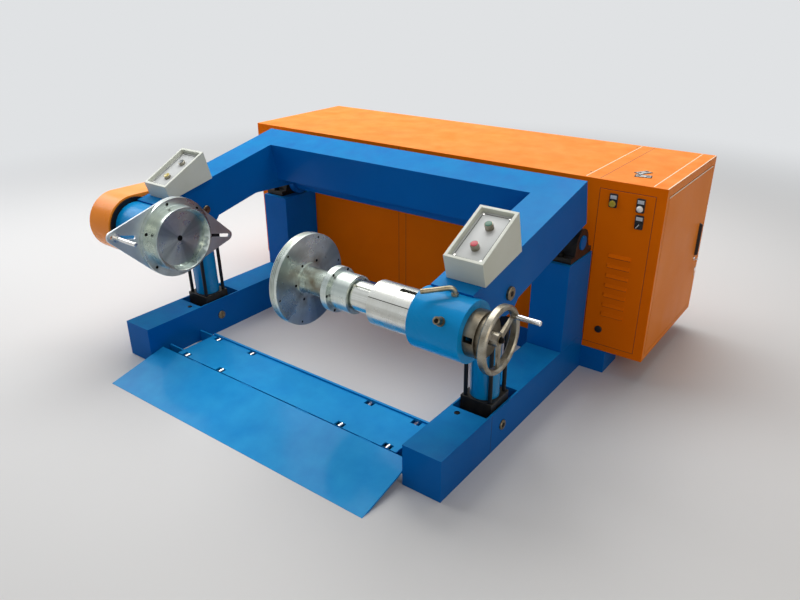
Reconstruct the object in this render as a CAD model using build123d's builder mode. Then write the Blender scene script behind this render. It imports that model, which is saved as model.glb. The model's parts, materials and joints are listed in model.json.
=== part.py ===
from build123d import *
import os
from math import atan2, cos, degrees, hypot, radians, sin

# Pay-off machine for wire reels, in millimetres. +X is the handwheel side, +Y the cabinet side.
# The origin lies on the floor, at the middle of the cross beam that carries the cabinet.

# Base frame
bay_width = 1424.0
beam_width = 160.0
beam_height = 170.0
beam_length = 1140.0
beam_wall = 8.0
well_start = 305.0
well_length = 235.0
well_width = 144.0
post_depth = 227.0
post_height = 560.0
post_inset = 5.0
cross_beam_length = 1964.0
cross_beam_width = 160.0
cross_beam_height = 105.0
fit_gap = 0.1
running_gap = 0.3
edge_round = 3.0

front_y = -beam_length - cross_beam_width / 2
beam_x = bay_width / 2 + beam_width / 2
post_y = front_y + beam_length - post_inset - post_depth / 2

# Pivot of the swing frame
pivot_offset = 8.5
pivot_y = post_y + pivot_offset
pivot_z = 626.0
pivot_radius = 30.0
pivot_tube_radius = 40.0
pillow_width = 110.0
pillow_length = 200.0
pillow_foot = 24.0
pillow_radius = 58.0
pillow_inset = 5.0
pillow_x = bay_width / 2 + beam_width - pillow_inset - pillow_width / 2

# Swing frame
spindle_setback = 135.5
spindle_y = front_y + spindle_setback
spindle_z = 601.6
arm_slope = 12.08
arm_above = 103.0
arm_below = 84.0
arm_width = beam_width
arm_start = 45.0
corner_setback = 179.8
rear_beam_width = 168.0
pin_lead = 19.9
pin_above = -26.5
lug_radius = 82.0
pocket_length = 156.0
pocket_top = 44.0
lug_plate = 30.0
lug_wall = 20.0
lug_reach = 571.0
barrel_radius = 105.0

arm_depth = arm_above + arm_below
inner_corner = (pivot_y - spindle_y) / cos(radians(arm_slope)) - corner_setback
outer_corner = inner_corner + rear_beam_width
arm_plane = Plane(
    origin=(0, spindle_y, spindle_z),
    x_dir=(1, 0, 0),
    z_dir=(0, -sin(radians(arm_slope)), cos(radians(arm_slope))),
)

# Lift cylinders
cylinder_pin_radius = 20.0
pin_setback = 6.5
cylinder_pin_y = front_y + well_start + well_length / 2 - pin_setback
cylinder_pin_z = 85.0
pin_head = 6.0
lift_head = 11.0
lift_head_radius = 25.0
lift_socket_radius = 9.0
pin_chamfer = 2.0
cap_width = 132.0
cap_top = 200.0
cap_foot = 20.0
tube_radius = 56.0
tube_length = 262.0
head_height = 42.0
tie_rod_radius = 8.0
tie_rod_spacing = 104.0
rod_radius = 25.0
eye_radius = 36.0
eye_width = 60.0
eye_play = 5.0

# Spindle line, all distances along X
drive_plate_x = -610.0
drive_plate_thickness = 10.0
drive_plate_reach = 318.0
drive_plate_tip = 24.0
drive_plate_tilt = 165.0
slot_start = 190.0
slot_end = 303.0
slot_width = 16.0
drive_flange_radius = 172.0
drive_flange_thickness = 18.0
drive_boss_radius = 140.0
drive_boss_length = 52.0
dish_radius = 133.0
dish_depth = 34.0
dish_taper = 30.0
centre_hole_radius = 12.0
flange_hole_radius = 7.0
flange_hole_circle = 155.0
flange_hole_turn = 40.0
hub_radius = 62.0
shaft_radius = 40.0
driver_pin_radius = 9.0
driver_pin_length = 135.0
driver_pin_circle = 281.0
drive_barrel_start = -650.0
guard_ring_radius = 126.0
guard_ring_thickness = 8.0
guard_width = 150.0
guard_front_radius = 134.0
guard_rear_radius = 80.0
guard_lead = 300.0
guard_drop = 45.0

clamp_disc_x = 150.0
clamp_disc_radius = 173.0
clamp_disc_thickness = 44.0
clamp_disc_chamfer = 9.0
clamp_dish_radius = 124.0
clamp_dish_depth = 10.0
clamp_hole_circle = 160.0
clamp_hole_turn = 10.0
neck_root_radius = 100.0
neck_root_length = 6.0
neck_radius = 50.0
flange_x = 316.0
flange_radius = 84.0
flange_thickness = 28.0
housing_radius = 70.0
housing_end = 424.0
housing_recess = 7.0
bearing_depth = 24.0
bearing_radius = 40.0
housing_recess_radius = 62.0
quill_radius = 55.0
quill_nose = 352.0
quill_end = 770.0
quill_bore = 18.0
quill_bore_start = 455.0
key_width = 18.0
key_start = 645.0
key_length = 40.0
key_height = 14.0
sleeve_radius = 80.0
sleeve_start = 520.0
slot_turn = 101.0
slit_turn = 145.6
slit_width = 2.0
slit_depth = 5.0
sleeve_slot_start = 617.0
sleeve_slot_end = 830.0
tail_barrel_start = 702.0
tail_barrel_end = 897.0
tail_wall = 17.0
screw_radius = 16.0
screw_start = 560.0
lantern_radius = 79.0
lantern_bore = 60.0
lantern_length = 40.0
lantern_window = 20.0
lantern_window_length = 33.0
lantern_window_turn = 172.0
lantern_plate = 13.0
lantern_plate_radius = 70.0
wheel_x = 983.0
wheel_radius = 125.0
rim_width = 28.0
rim_depth = 20.0
rim_chamfer = 5.0
wheel_hub_radius = 24.0
wheel_hub_length = 32.0
wheel_hub_face = 4.0
spoke_width = 22.0
spoke_thickness = 12.0
spoke_taper = 1.5
spoke_turn = 30.0
handle_circle = 106.0
handle_radius = 9.0
handle_length = 96.0

# Tailstock clamp lever and lock screw
lever_x = 819.5
lever_radius = 8.5
lever_rise = 28.0
lever_reach = 85.0
lever_side = 70.0
lever_tip_rise = 16.0
lever_collar = 8.0
lever_collar_radius = 12.0
lock_screw_x = 828.0
lock_screw_angle = 30.0
lock_screw_radius = 13.0
lock_screw_length = 30.0
lock_collar = 6.0
lock_collar_radius = 16.0

# Control boxes on the arms
box_width = 148.0
box_front = 98.0
box_rear = 340.0
box_lean = 7.0
box_front_height = 89.0
box_rear_height = 152.0
box_shift = 20.0
left_box_drop = 20.0
box_rim = 12.0
box_recess = 18.0
button_bezel_radius = 15.0
button_radius = 10.5
button_spacing = 84.0
bezel_height = 9.0
button_height = 15.0

# Ramp between the side beams
ramp_top = 62.0
ramp_plate = 8.0
hinge_offset = 62.0
platform_depth = 223.0
platform_side_gaps = (107.0, 77.0)
stretcher_offset = 40.0
leaf_reach = 276.0
leaf_bevel = 35.0
leaf_side_gap = 6.0
hinge_spread = (160.0, 480.0)
hinge_half_length = 30.0
knuckle_radius = 4.0
hinge_pin_radius = 2.0
hinge_gap = 1.0
rear_bar = 10.0
rear_bar_rise = 8.0
roller_spread = (343.0, 572.0)
roller_slot_length = 41.0
roller_slot_width = 26.0
roller_radius = 9.0
roller_rise = 1.5
axle_radius = 3.0

# Cabinet
cabinet_length = 2280.0
cabinet_depth = 690.0
cabinet_height = 762.0
cabinet_gap = 5.0
switch_room = 340.0
sheet = 3.0
door_margin_y = 30.0
door_margin_top = 36.0
door_margin_bottom = 26.0
door_gap = 3.0
door_depth = 20.0
door_pin_inset = 12.0
door_pin_depth = 8.0
door_pin_radius = 4.0
handle_height = 170.0
handle_width = 18.0
handle_stand = 22.0
switch_panel_width = 226.0
switch_panel_height = 680.0
switch_panel_thickness = 2.0
switch_panel_inset = 42.0
switch_panel_rise = 30.0
switch_offsets = ((-53.0, 301.0), (59.0, 299.0), (62.0, 231.0))

cabinet_front = front_y + beam_length + cabinet_gap
cabinet_back = cabinet_front + cabinet_depth
cabinet_bottom = cross_beam_height
cabinet_top = cabinet_bottom + cabinet_height
cabinet_side = cabinet_length / 2
switch_wall = cabinet_side - switch_room

os.makedirs("parts", exist_ok=True)


def save(piece, name):
    piece.part.label = name
    export_step(piece.part, f"parts/{name}.step")


def across(x, turn=0.0):
    """Plane that faces +X at distance x, centred on the spindle axis, turned from +Y towards +Z."""
    way = (0, cos(radians(turn)), sin(radians(turn)))
    return Plane(origin=(x, spindle_y, spindle_z), x_dir=way, z_dir=(1, 0, 0))


def along_axis(x, turn):
    """Plane through the spindle axis at x that faces away from it, turned from +Y towards +Z."""
    way = (0, cos(radians(turn)), sin(radians(turn)))
    return Plane(origin=(x, spindle_y, spindle_z), x_dir=(1, 0, 0), z_dir=way)


def facing(x, y, z):
    return Plane(origin=(x, y, z), x_dir=(0, 1, 0), z_dir=(1, 0, 0))


def on_arm(along, above):
    """Row y and z of a point given along the arm and above its spindle axis."""
    slope = radians(arm_slope)
    y = spindle_y + along * cos(slope) - above * sin(slope)
    z = spindle_z + along * sin(slope) + above * cos(slope)
    return y, z


pin_along = (cylinder_pin_y - spindle_y) / cos(radians(arm_slope)) - pin_lead
lift_pin_y, lift_pin_z = on_arm(pin_along, pin_above)

# Side beams: box beams with an open well for the lift cylinder and a post at the back
for side, sign in (("left", -1), ("right", 1)):
    with BuildPart() as side_beam:
        with BuildSketch(Plane.XY):
            with Locations((sign * beam_x, front_y + beam_length / 2)):
                Rectangle(beam_width, beam_length)
        extrude(amount=beam_height)
        with BuildSketch(Plane.XY.offset(beam_height)):
            with Locations((sign * beam_x, front_y + well_start + well_length / 2)):
                Rectangle(well_width, well_length)
        extrude(amount=beam_wall - beam_height, mode=Mode.SUBTRACT)
        with BuildSketch(facing(sign * beam_x, cylinder_pin_y, cylinder_pin_z)):
            Circle(cylinder_pin_radius + fit_gap)
        extrude(amount=beam_width, both=True, mode=Mode.SUBTRACT)
    save(side_beam, f"{side}_side_beam")

with BuildPart() as base_pins:
    for x in (-beam_x, beam_x):
        with BuildSketch(facing(x, cylinder_pin_y, cylinder_pin_z)):
            Circle(cylinder_pin_radius)
        extrude(amount=beam_width / 2 + pin_head, both=True)
    chamfer(base_pins.edges().filter_by(GeomType.CIRCLE), pin_chamfer)
save(base_pins, "base_pins")

with BuildPart() as posts:
    with BuildSketch(Plane.XY.offset(beam_height)):
        with Locations((-beam_x, post_y), (beam_x, post_y)):
            Rectangle(beam_width, post_depth)
    extrude(amount=post_height - beam_height)
    fillet(posts.edges().filter_by(Axis.Z), edge_round)
save(posts, "posts")

with BuildPart() as pillow_blocks:
    foot_z = post_height - pivot_z
    for x in (-pillow_x, pillow_x):
        with BuildSketch(facing(x, pivot_y, pivot_z)):
            with Locations((0, foot_z + pillow_foot / 2)):
                Rectangle(pillow_length, pillow_foot)
            Circle(pillow_radius)
            with BuildLine():
                Polyline(
                    (-pillow_radius, 0),
                    (-pillow_radius - 12, foot_z + pillow_foot),
                    (pillow_radius + 12, foot_z + pillow_foot),
                    (pillow_radius, 0),
                    close=True,
                )
            make_face()
            with Locations((0, foot_z - pillow_radius)):
                Rectangle(2 * pillow_length, 2 * pillow_radius, mode=Mode.SUBTRACT)
            Circle(pivot_radius + fit_gap, mode=Mode.SUBTRACT)
        extrude(amount=pillow_width / 2, both=True)
save(pillow_blocks, "pillow_blocks")

# Cabinet stand: two cross beams and two rails on the floor
with BuildPart() as cross_beams:
    with BuildSketch(Plane.XY):
        with Locations((0, 0), (0, cabinet_back - cross_beam_width / 2)):
            Rectangle(cross_beam_length, cross_beam_width)
    extrude(amount=cross_beam_height)
save(cross_beams, "cross_beams")

with BuildPart() as stand_rails:
    rail_length = cabinet_back - 1.5 * cross_beam_width
    rail_y = cross_beam_width / 2 + rail_length / 2
    with BuildSketch(Plane.XY):
        with Locations((-beam_x, rail_y), (beam_x, rail_y)):
            Rectangle(beam_width, rail_length)
    extrude(amount=cross_beam_height)
save(stand_rails, "stand_rails")

# Ramp: a platform with reel rollers on two stretchers between the beams, and a hinged leaf
hinge_y = front_y + hinge_offset
hinge_z = ramp_top - knuckle_radius
platform_left = platform_side_gaps[0] - bay_width / 2
platform_right = bay_width / 2 - platform_side_gaps[1]
platform_width = platform_right - platform_left
platform_x = (platform_left + platform_right) / 2
platform_front = hinge_y + knuckle_radius + hinge_gap
platform_back = hinge_y + platform_depth
hinge_places = [platform_x + sign * x for x in hinge_spread for sign in (-1, 1)]
roller_rows = (
    platform_front + hinge_gap + roller_slot_width / 2,
    platform_back - rear_bar - hinge_gap - roller_slot_width / 2,
)
roller_places = [
    (platform_x + sign * x, y) for x in roller_spread for sign in (-1, 1) for y in roller_rows
]

with BuildPart() as platform:
    with BuildSketch(Plane.YZ.offset(platform_left)):
        with BuildLine():
            Polyline(
                (platform_front, ramp_top),
                (platform_back - rear_bar, ramp_top),
                (platform_back - rear_bar, ramp_top + rear_bar_rise),
                (platform_back, ramp_top + rear_bar_rise),
                (platform_back, ramp_top - ramp_plate),
                (platform_front, ramp_top - ramp_plate),
                close=True,
            )
        make_face()
    extrude(amount=platform_width)
    with BuildSketch(Plane.XY):
        with Locations((0, platform_front + stretcher_offset), (0, platform_back - ramp_plate / 2)):
            Rectangle(bay_width, ramp_plate)
    extrude(amount=ramp_top - ramp_plate)
    with BuildSketch(Plane.XY.offset(ramp_top)):
        with Locations(*roller_places):
            Rectangle(roller_slot_length, roller_slot_width)
    extrude(amount=-ramp_plate, mode=Mode.SUBTRACT)
    for x in hinge_places:
        with BuildSketch(facing(x, hinge_y, hinge_z)):
            Circle(knuckle_radius)
            with Locations((knuckle_radius, -hinge_gap)):
                Rectangle(2 * knuckle_radius, knuckle_radius)
            Circle(hinge_pin_radius + fit_gap, mode=Mode.SUBTRACT)
        extrude(amount=hinge_half_length, both=True)
        with BuildSketch(facing(x, hinge_y, hinge_z)):
            Circle(knuckle_radius + hinge_gap)
        extrude(amount=hinge_half_length / 2 + hinge_gap, both=True, mode=Mode.SUBTRACT)
save(platform, "platform")

with BuildPart() as rollers:
    for x, y in roller_places:
        roller_face = Plane(
            origin=(x, y, ramp_top + roller_rise - roller_radius), x_dir=(1, 0, 0), z_dir=(0, -1, 0)
        )
        with BuildSketch(roller_face):
            Circle(roller_radius)
        extrude(amount=roller_slot_width / 2 - hinge_gap, both=True)
        with BuildSketch(roller_face):
            Circle(axle_radius)
        extrude(amount=roller_slot_width / 2 - fit_gap, both=True)
save(rollers, "rollers")

leaf_width = bay_width - 2 * leaf_side_gap
with BuildPart() as ramp_leaf:
    with BuildSketch(Plane.YZ.offset(-leaf_width / 2)):
        with BuildLine():
            Polyline(
                (hinge_y - hinge_gap, ramp_top),
                (hinge_y - leaf_reach, 1),
                (hinge_y - leaf_reach, 0),
                (hinge_y - leaf_reach + leaf_bevel, 0),
                (hinge_y - hinge_gap, ramp_top - ramp_plate),
                close=True,
            )
        make_face()
    extrude(amount=leaf_width)
    for x in hinge_places:
        with BuildSketch(facing(x, hinge_y, hinge_z)):
            Circle(knuckle_radius + hinge_gap)
        extrude(amount=hinge_half_length + hinge_gap, both=True, mode=Mode.SUBTRACT)
        with BuildSketch(facing(x, hinge_y, hinge_z)):
            Circle(knuckle_radius)
            with Locations((-knuckle_radius, -hinge_gap)):
                Rectangle(2 * knuckle_radius, knuckle_radius)
            Circle(hinge_pin_radius + fit_gap, mode=Mode.SUBTRACT)
        extrude(amount=hinge_half_length / 2, both=True)
save(ramp_leaf, "ramp_leaf")

with BuildPart() as hinge_pins:
    for x in hinge_places:
        with BuildSketch(facing(x, hinge_y, hinge_z)):
            Circle(hinge_pin_radius)
        extrude(amount=hinge_half_length, both=True)
save(hinge_pins, "hinge_pins")

# Swing frame: box-section U, mitred at the rear corners
for side, sign in (("left", -1), ("right", 1)):
    inner, outer = sign * bay_width / 2, sign * (bay_width / 2 + arm_width)
    with BuildPart() as arm:
        with BuildSketch(arm_plane.offset(-arm_below)):
            with BuildLine():
                Polyline(
                    (inner, arm_start),
                    (outer, arm_start),
                    (outer, outer_corner),
                    (inner, inner_corner),
                    close=True,
                )
            make_face()
        extrude(amount=arm_depth)
        with BuildSketch(facing(sign * beam_x, lift_pin_y, lift_pin_z)):
            Circle(lug_radius)
        extrude(amount=arm_width / 2, both=True)
        with BuildSketch(arm_plane.offset(pocket_top)):
            with Locations((sign * beam_x, pin_along)):
                Rectangle(well_width, pocket_length)
        extrude(amount=-2 * arm_depth, mode=Mode.SUBTRACT)
        with BuildSketch(facing(sign * beam_x, spindle_y, spindle_z)):
            Circle(barrel_radius + fit_gap)
        extrude(amount=arm_width, both=True, mode=Mode.SUBTRACT)
        with BuildSketch(facing(sign * beam_x, lift_pin_y, lift_pin_z)):
            Circle(cylinder_pin_radius + fit_gap)
        extrude(amount=arm_width, both=True, mode=Mode.SUBTRACT)
    save(arm, f"{side}_arm")

with BuildPart() as lift_pins:
    for x in (-beam_x, beam_x):
        with BuildSketch(facing(x, lift_pin_y, lift_pin_z)):
            Circle(cylinder_pin_radius)
        extrude(amount=arm_width / 2 + pin_head, both=True)
    chamfer(lift_pins.edges().filter_by(GeomType.CIRCLE), pin_chamfer)
    with BuildSketch(facing(beam_x + arm_width / 2, lift_pin_y, lift_pin_z)):
        Circle(lift_head_radius)
    extrude(amount=lift_head)
    chamfer(lift_pins.faces().sort_by(Axis.X)[-1].edges(), pin_chamfer)
    with BuildSketch(facing(beam_x + arm_width / 2 + lift_head, lift_pin_y, lift_pin_z)):
        RegularPolygon(lift_socket_radius, 6)
    extrude(amount=-lift_head / 2, mode=Mode.SUBTRACT)
save(lift_pins, "lift_pins")

with BuildPart() as rear_beam:
    corner, tip = bay_width / 2, bay_width / 2 + arm_width
    with BuildSketch(arm_plane.offset(-arm_below)):
        with BuildLine():
            Polyline(
                (-corner, inner_corner),
                (corner, inner_corner),
                (tip, outer_corner),
                (-tip, outer_corner),
                close=True,
            )
        make_face()
    extrude(amount=arm_depth)
save(rear_beam, "rear_beam")

with BuildPart() as pivot_tube:
    with BuildSketch(facing(0, pivot_y, pivot_z)):
        Circle(pivot_tube_radius)
    extrude(amount=bay_width / 2 + lug_plate, both=True)
    with BuildSketch(facing(-bay_width / 2 - beam_width - guard_ring_thickness, pivot_y, pivot_z)):
        Circle(pivot_radius)
    extrude(amount=bay_width + 2 * beam_width + guard_ring_thickness)
save(pivot_tube, "pivot_tube")

# A gusset plate under each arm's inner wall holds the pivot tube
lug_x = bay_width / 2 + lug_plate / 2
with BuildPart() as pivot_lugs:
    for x in (-lug_x, lug_x):
        with BuildSketch(Plane.YZ.offset(x)):
            with BuildLine():
                Polyline(
                    on_arm(lug_reach, -arm_below),
                    on_arm(outer_corner - lug_wall, -arm_below),
                    (pivot_y + pivot_tube_radius, pivot_z),
                    (pivot_y, pivot_z),
                    close=True,
                )
            make_face()
            with Locations((pivot_y, pivot_z)):
                Circle(pivot_tube_radius + lug_wall)
                Circle(pivot_tube_radius + fit_gap, mode=Mode.SUBTRACT)
        extrude(amount=lug_plate / 2, both=True)
save(pivot_lugs, "pivot_lugs")

# Lift cylinders: cap, tube, tie rods and head swing on the base pin, the rod slides
for side, sign in (("left", -1), ("right", 1)):
    cylinder_lean = atan2(lift_pin_y - cylinder_pin_y, lift_pin_z - cylinder_pin_z)
    lean_plane = Plane(
        origin=(sign * beam_x, cylinder_pin_y, cylinder_pin_z),
        x_dir=(1, 0, 0),
        z_dir=(0, sin(cylinder_lean), cos(cylinder_lean)),
    )
    cap_rise = cap_top - cylinder_pin_z
    tie_places = GridLocations(tie_rod_spacing, tie_rod_spacing, 2, 2)
    with BuildPart() as cylinder_cap:
        with BuildSketch(lean_plane.offset(-cap_foot - cylinder_pin_radius)):
            Rectangle(cap_width, cap_width)
        extrude(amount=cap_rise + cap_foot + cylinder_pin_radius)
        fillet(cylinder_cap.edges().filter_by(Axis.X).group_by(Axis.Z)[0], cap_foot)
        with BuildSketch(facing(sign * beam_x, cylinder_pin_y, cylinder_pin_z)):
            Circle(cylinder_pin_radius + fit_gap)
        extrude(amount=cap_width, both=True, mode=Mode.SUBTRACT)
    save(cylinder_cap, f"{side}_cylinder_cap")

    with BuildPart() as cylinder_tube:
        with BuildSketch(lean_plane.offset(cap_rise)):
            Circle(tube_radius)
            Circle(rod_radius + 2, mode=Mode.SUBTRACT)
        extrude(amount=tube_length)
    save(cylinder_tube, f"{side}_cylinder_tube")

    with BuildPart() as cylinder_head:
        with BuildSketch(lean_plane.offset(cap_rise)):
            with tie_places:
                Circle(tie_rod_radius)
        extrude(amount=tube_length)
        with BuildSketch(lean_plane.offset(cap_rise + tube_length)):
            Rectangle(cap_width, cap_width)
            Circle(rod_radius + fit_gap, mode=Mode.SUBTRACT)
        extrude(amount=head_height)
    save(cylinder_head, f"{side}_cylinder_head")

    rod_length = hypot(lift_pin_y - cylinder_pin_y, lift_pin_z - cylinder_pin_z)
    with BuildPart() as piston_rod:
        with BuildSketch(lean_plane.offset(cap_rise + tube_radius)):
            Circle(rod_radius)
        extrude(amount=rod_length - cap_rise - tube_radius - eye_radius / 2)
        with BuildSketch(facing(sign * beam_x, lift_pin_y, lift_pin_z)):
            Circle(eye_radius)
        extrude(amount=eye_width / 2, both=True)
        with BuildSketch(facing(sign * beam_x, lift_pin_y, lift_pin_z)):
            Circle(cylinder_pin_radius + eye_play)
        extrude(amount=eye_width, both=True, mode=Mode.SUBTRACT)
    save(piston_rod, f"{side}_piston_rod")

# Drive side: fixed barrel, guard ring, belt guard, and the spindle with its driving plate
arm_outer = bay_width / 2 + arm_width
with BuildPart() as drive_barrel:
    with BuildSketch(across(-arm_outer)):
        Circle(barrel_radius)
        Circle(shaft_radius + fit_gap, mode=Mode.SUBTRACT)
    extrude(amount=arm_outer + drive_barrel_start)
save(drive_barrel, "drive_barrel")

with BuildPart() as guard_ring:
    with BuildSketch(across(-arm_outer - guard_ring_thickness)):
        Circle(guard_ring_radius)
        Circle(shaft_radius + running_gap, mode=Mode.SUBTRACT)
    extrude(amount=guard_ring_thickness)
save(guard_ring, "guard_ring")

guard_x = -arm_outer - guard_ring_thickness
guard_rear_y, guard_rear_z = on_arm(inner_corner - guard_lead, -guard_drop)
with BuildPart() as belt_guard:
    with BuildSketch(across(guard_x - guard_width)):
        Circle(guard_front_radius)
        with Locations((guard_rear_y - spindle_y, guard_rear_z - spindle_z)):
            Circle(guard_rear_radius)
        make_hull()
    extrude(amount=guard_width)
    chamfer(belt_guard.faces().sort_by(Axis.X)[0].edges(), edge_round)
save(belt_guard, "belt_guard")

with BuildPart() as drive_spindle:
    with BuildSketch(across(-arm_outer)):
        Circle(shaft_radius)
    extrude(amount=arm_outer + drive_plate_x)
    with BuildSketch(across(drive_barrel_start + running_gap)):
        Circle(hub_radius)
    extrude(amount=drive_plate_x - drive_barrel_start - running_gap)
save(drive_spindle, "drive_spindle")

with BuildPart() as drive_plate:
    tip_reach = drive_plate_reach - drive_plate_tip
    with BuildSketch(across(drive_plate_x, drive_plate_tilt)):
        Circle(drive_flange_radius)
        with Locations((tip_reach, 0), (-tip_reach, 0)):
            Circle(drive_plate_tip)
        make_hull()
        with Locations(((slot_start + slot_end) / 2, 0), (-(slot_start + slot_end) / 2, 0)):
            SlotOverall(slot_end - slot_start, slot_width, mode=Mode.SUBTRACT)
    extrude(amount=drive_plate_thickness)
save(drive_plate, "drive_plate")

flange_start = drive_plate_x + drive_plate_thickness
with BuildPart() as drive_flange:
    with BuildSketch(across(flange_start)):
        Circle(drive_flange_radius)
    extrude(amount=drive_flange_thickness)
    with BuildSketch(across(flange_start + drive_flange_thickness)):
        Circle(drive_boss_radius)
    extrude(amount=drive_boss_length)
    face_x = flange_start + drive_flange_thickness + drive_boss_length
    with BuildSketch(across(face_x)):
        Circle(dish_radius)
    extrude(amount=-dish_depth, taper=dish_taper, mode=Mode.SUBTRACT)
    with BuildSketch(across(face_x)):
        Circle(centre_hole_radius)
    extrude(amount=-drive_boss_length, mode=Mode.SUBTRACT)
    with BuildSketch(across(flange_start + drive_flange_thickness)):
        with PolarLocations(flange_hole_circle, 6, start_angle=flange_hole_turn):
            Circle(flange_hole_radius)
    extrude(amount=-drive_flange_thickness + fit_gap, mode=Mode.SUBTRACT)
save(drive_flange, "drive_flange")

with BuildPart() as driver_pin:
    pin_plane = across(drive_plate_x + drive_plate_thickness, drive_plate_tilt)
    with BuildSketch(pin_plane):
        with Locations((driver_pin_circle, 0)):
            Circle(2 * driver_pin_radius)
    extrude(amount=driver_pin_radius)
    with BuildSketch(pin_plane.offset(-drive_plate_thickness)):
        with Locations((driver_pin_circle, 0)):
            Circle(slot_width / 2 - fit_gap)
    extrude(amount=drive_plate_thickness)
    with BuildSketch(pin_plane):
        with Locations((driver_pin_circle, 0)):
            Circle(driver_pin_radius)
    extrude(amount=driver_pin_length)
    chamfer(driver_pin.faces().sort_by(Axis.X)[-1].edges(), 2)
save(driver_pin, "driver_pin")

# Tailstock: barrel, sleeve and lantern are fixed in the right arm
with BuildPart() as tail_barrel:
    with BuildSketch(across(tail_barrel_start)):
        Circle(barrel_radius)
    extrude(amount=tail_barrel_end - tail_barrel_start)
    with BuildSketch(across(tail_barrel_start)):
        Circle(sleeve_radius + fit_gap)
    extrude(amount=tail_barrel_end - tail_barrel_start - tail_wall, mode=Mode.SUBTRACT)
    with BuildSketch(across(tail_barrel_start)):
        Circle(screw_radius + running_gap)
    extrude(amount=tail_barrel_end - tail_barrel_start, mode=Mode.SUBTRACT)
save(tail_barrel, "tail_barrel")

with BuildPart() as sleeve:
    with BuildSketch(across(sleeve_start)):
        Circle(sleeve_radius)
        Circle(quill_radius + fit_gap, mode=Mode.SUBTRACT)
    extrude(amount=tail_barrel_end - tail_wall - fit_gap - sleeve_start)
    chamfer(sleeve.faces().sort_by(Axis.X)[0].outer_wire().edges(), 2)
    with BuildSketch(along_axis((sleeve_slot_start + sleeve_slot_end) / 2, slot_turn)):
        SlotOverall(sleeve_slot_end - sleeve_slot_start, key_width)
    extrude(amount=2 * sleeve_radius, mode=Mode.SUBTRACT)
    with BuildSketch(along_axis(sleeve_start, slit_turn).offset(sleeve_radius - slit_depth)):
        Rectangle(2 * (tail_barrel_start - sleeve_start), slit_width)
    extrude(amount=2 * slit_depth, mode=Mode.SUBTRACT)
save(sleeve, "sleeve")

with BuildPart() as lantern:
    with BuildSketch(across(tail_barrel_end)):
        Circle(lantern_radius)
        Circle(lantern_bore, mode=Mode.SUBTRACT)
    extrude(amount=lantern_length)
    with BuildSketch(across(tail_barrel_end + lantern_length / 2, lantern_window_turn)):
        Rectangle(3 * lantern_radius, lantern_window)
    extrude(amount=lantern_window_length / 2, both=True, mode=Mode.SUBTRACT)
    with BuildSketch(across(tail_barrel_end + lantern_length)):
        Circle(lantern_plate_radius)
        Circle(screw_radius + running_gap, mode=Mode.SUBTRACT)
    extrude(amount=lantern_plate)
save(lantern, "lantern")

# Quill: slides in the sleeve, with its key in the sleeve's slot
with BuildPart() as quill:
    with BuildSketch(across(quill_nose)):
        Circle(quill_radius)
    extrude(amount=quill_end - quill_nose)
    with BuildSketch(across(quill_end)):
        Circle(quill_bore)
    extrude(amount=quill_bore_start - quill_end, mode=Mode.SUBTRACT)
    key_seat = along_axis(key_start + key_length / 2, slot_turn).offset(quill_radius - key_width / 2)
    with BuildSketch(key_seat):
        Rectangle(key_length, key_width - 2 * running_gap)
    extrude(amount=key_width / 2 + key_height)
save(quill, "quill")

# Live head on the quill: clamp disc with its neck, and the bearing housing
with BuildPart() as clamp_disc:
    with BuildSketch(across(clamp_disc_x)):
        Circle(clamp_disc_radius)
    extrude(amount=clamp_disc_thickness)
    chamfer(clamp_disc.faces().sort_by(Axis.X)[0].edges(), clamp_disc_chamfer)
    with BuildSketch(across(clamp_disc_x)):
        Circle(clamp_dish_radius)
    extrude(amount=clamp_dish_depth, taper=20, mode=Mode.SUBTRACT)
    with BuildSketch(across(clamp_disc_x + clamp_disc_thickness)):
        Circle(neck_root_radius)
    extrude(amount=neck_root_length)
    with BuildSketch(across(clamp_disc_x + clamp_disc_thickness)):
        Circle(neck_radius)
    extrude(amount=flange_x - running_gap - clamp_disc_x - clamp_disc_thickness)
    with BuildSketch(across(clamp_disc_x + clamp_disc_thickness)):
        Circle(bearing_radius)
    extrude(amount=flange_x + bearing_depth - clamp_disc_x - clamp_disc_thickness)
    with BuildSketch(across(clamp_disc_x + clamp_disc_thickness)):
        with PolarLocations(clamp_hole_circle, 6, start_angle=clamp_hole_turn):
            Circle(flange_hole_radius / 2 + 1)
    extrude(amount=-clamp_disc_thickness, mode=Mode.SUBTRACT)
    with BuildSketch(across(clamp_disc_x)):
        Circle(centre_hole_radius)
    extrude(amount=clamp_disc_thickness, mode=Mode.SUBTRACT)
save(clamp_disc, "clamp_disc")

with BuildPart() as bearing_housing:
    with BuildSketch(across(flange_x)):
        Circle(flange_radius)
    extrude(amount=flange_thickness)
    chamfer(bearing_housing.faces().sort_by(Axis.X)[0].edges(), 2)
    with BuildSketch(across(flange_x + flange_thickness)):
        Circle(housing_radius)
    extrude(amount=housing_end - flange_x - flange_thickness)
    with BuildSketch(across(housing_end)):
        Circle(housing_recess_radius)
    extrude(amount=-housing_recess, mode=Mode.SUBTRACT)
    with BuildSketch(across(housing_end)):
        Circle(quill_radius + fit_gap)
    extrude(amount=quill_nose - housing_end, mode=Mode.SUBTRACT)
    with BuildSketch(across(flange_x)):
        Circle(bearing_radius + fit_gap)
    extrude(amount=bearing_depth + running_gap, mode=Mode.SUBTRACT)
save(bearing_housing, "bearing_housing")

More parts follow.
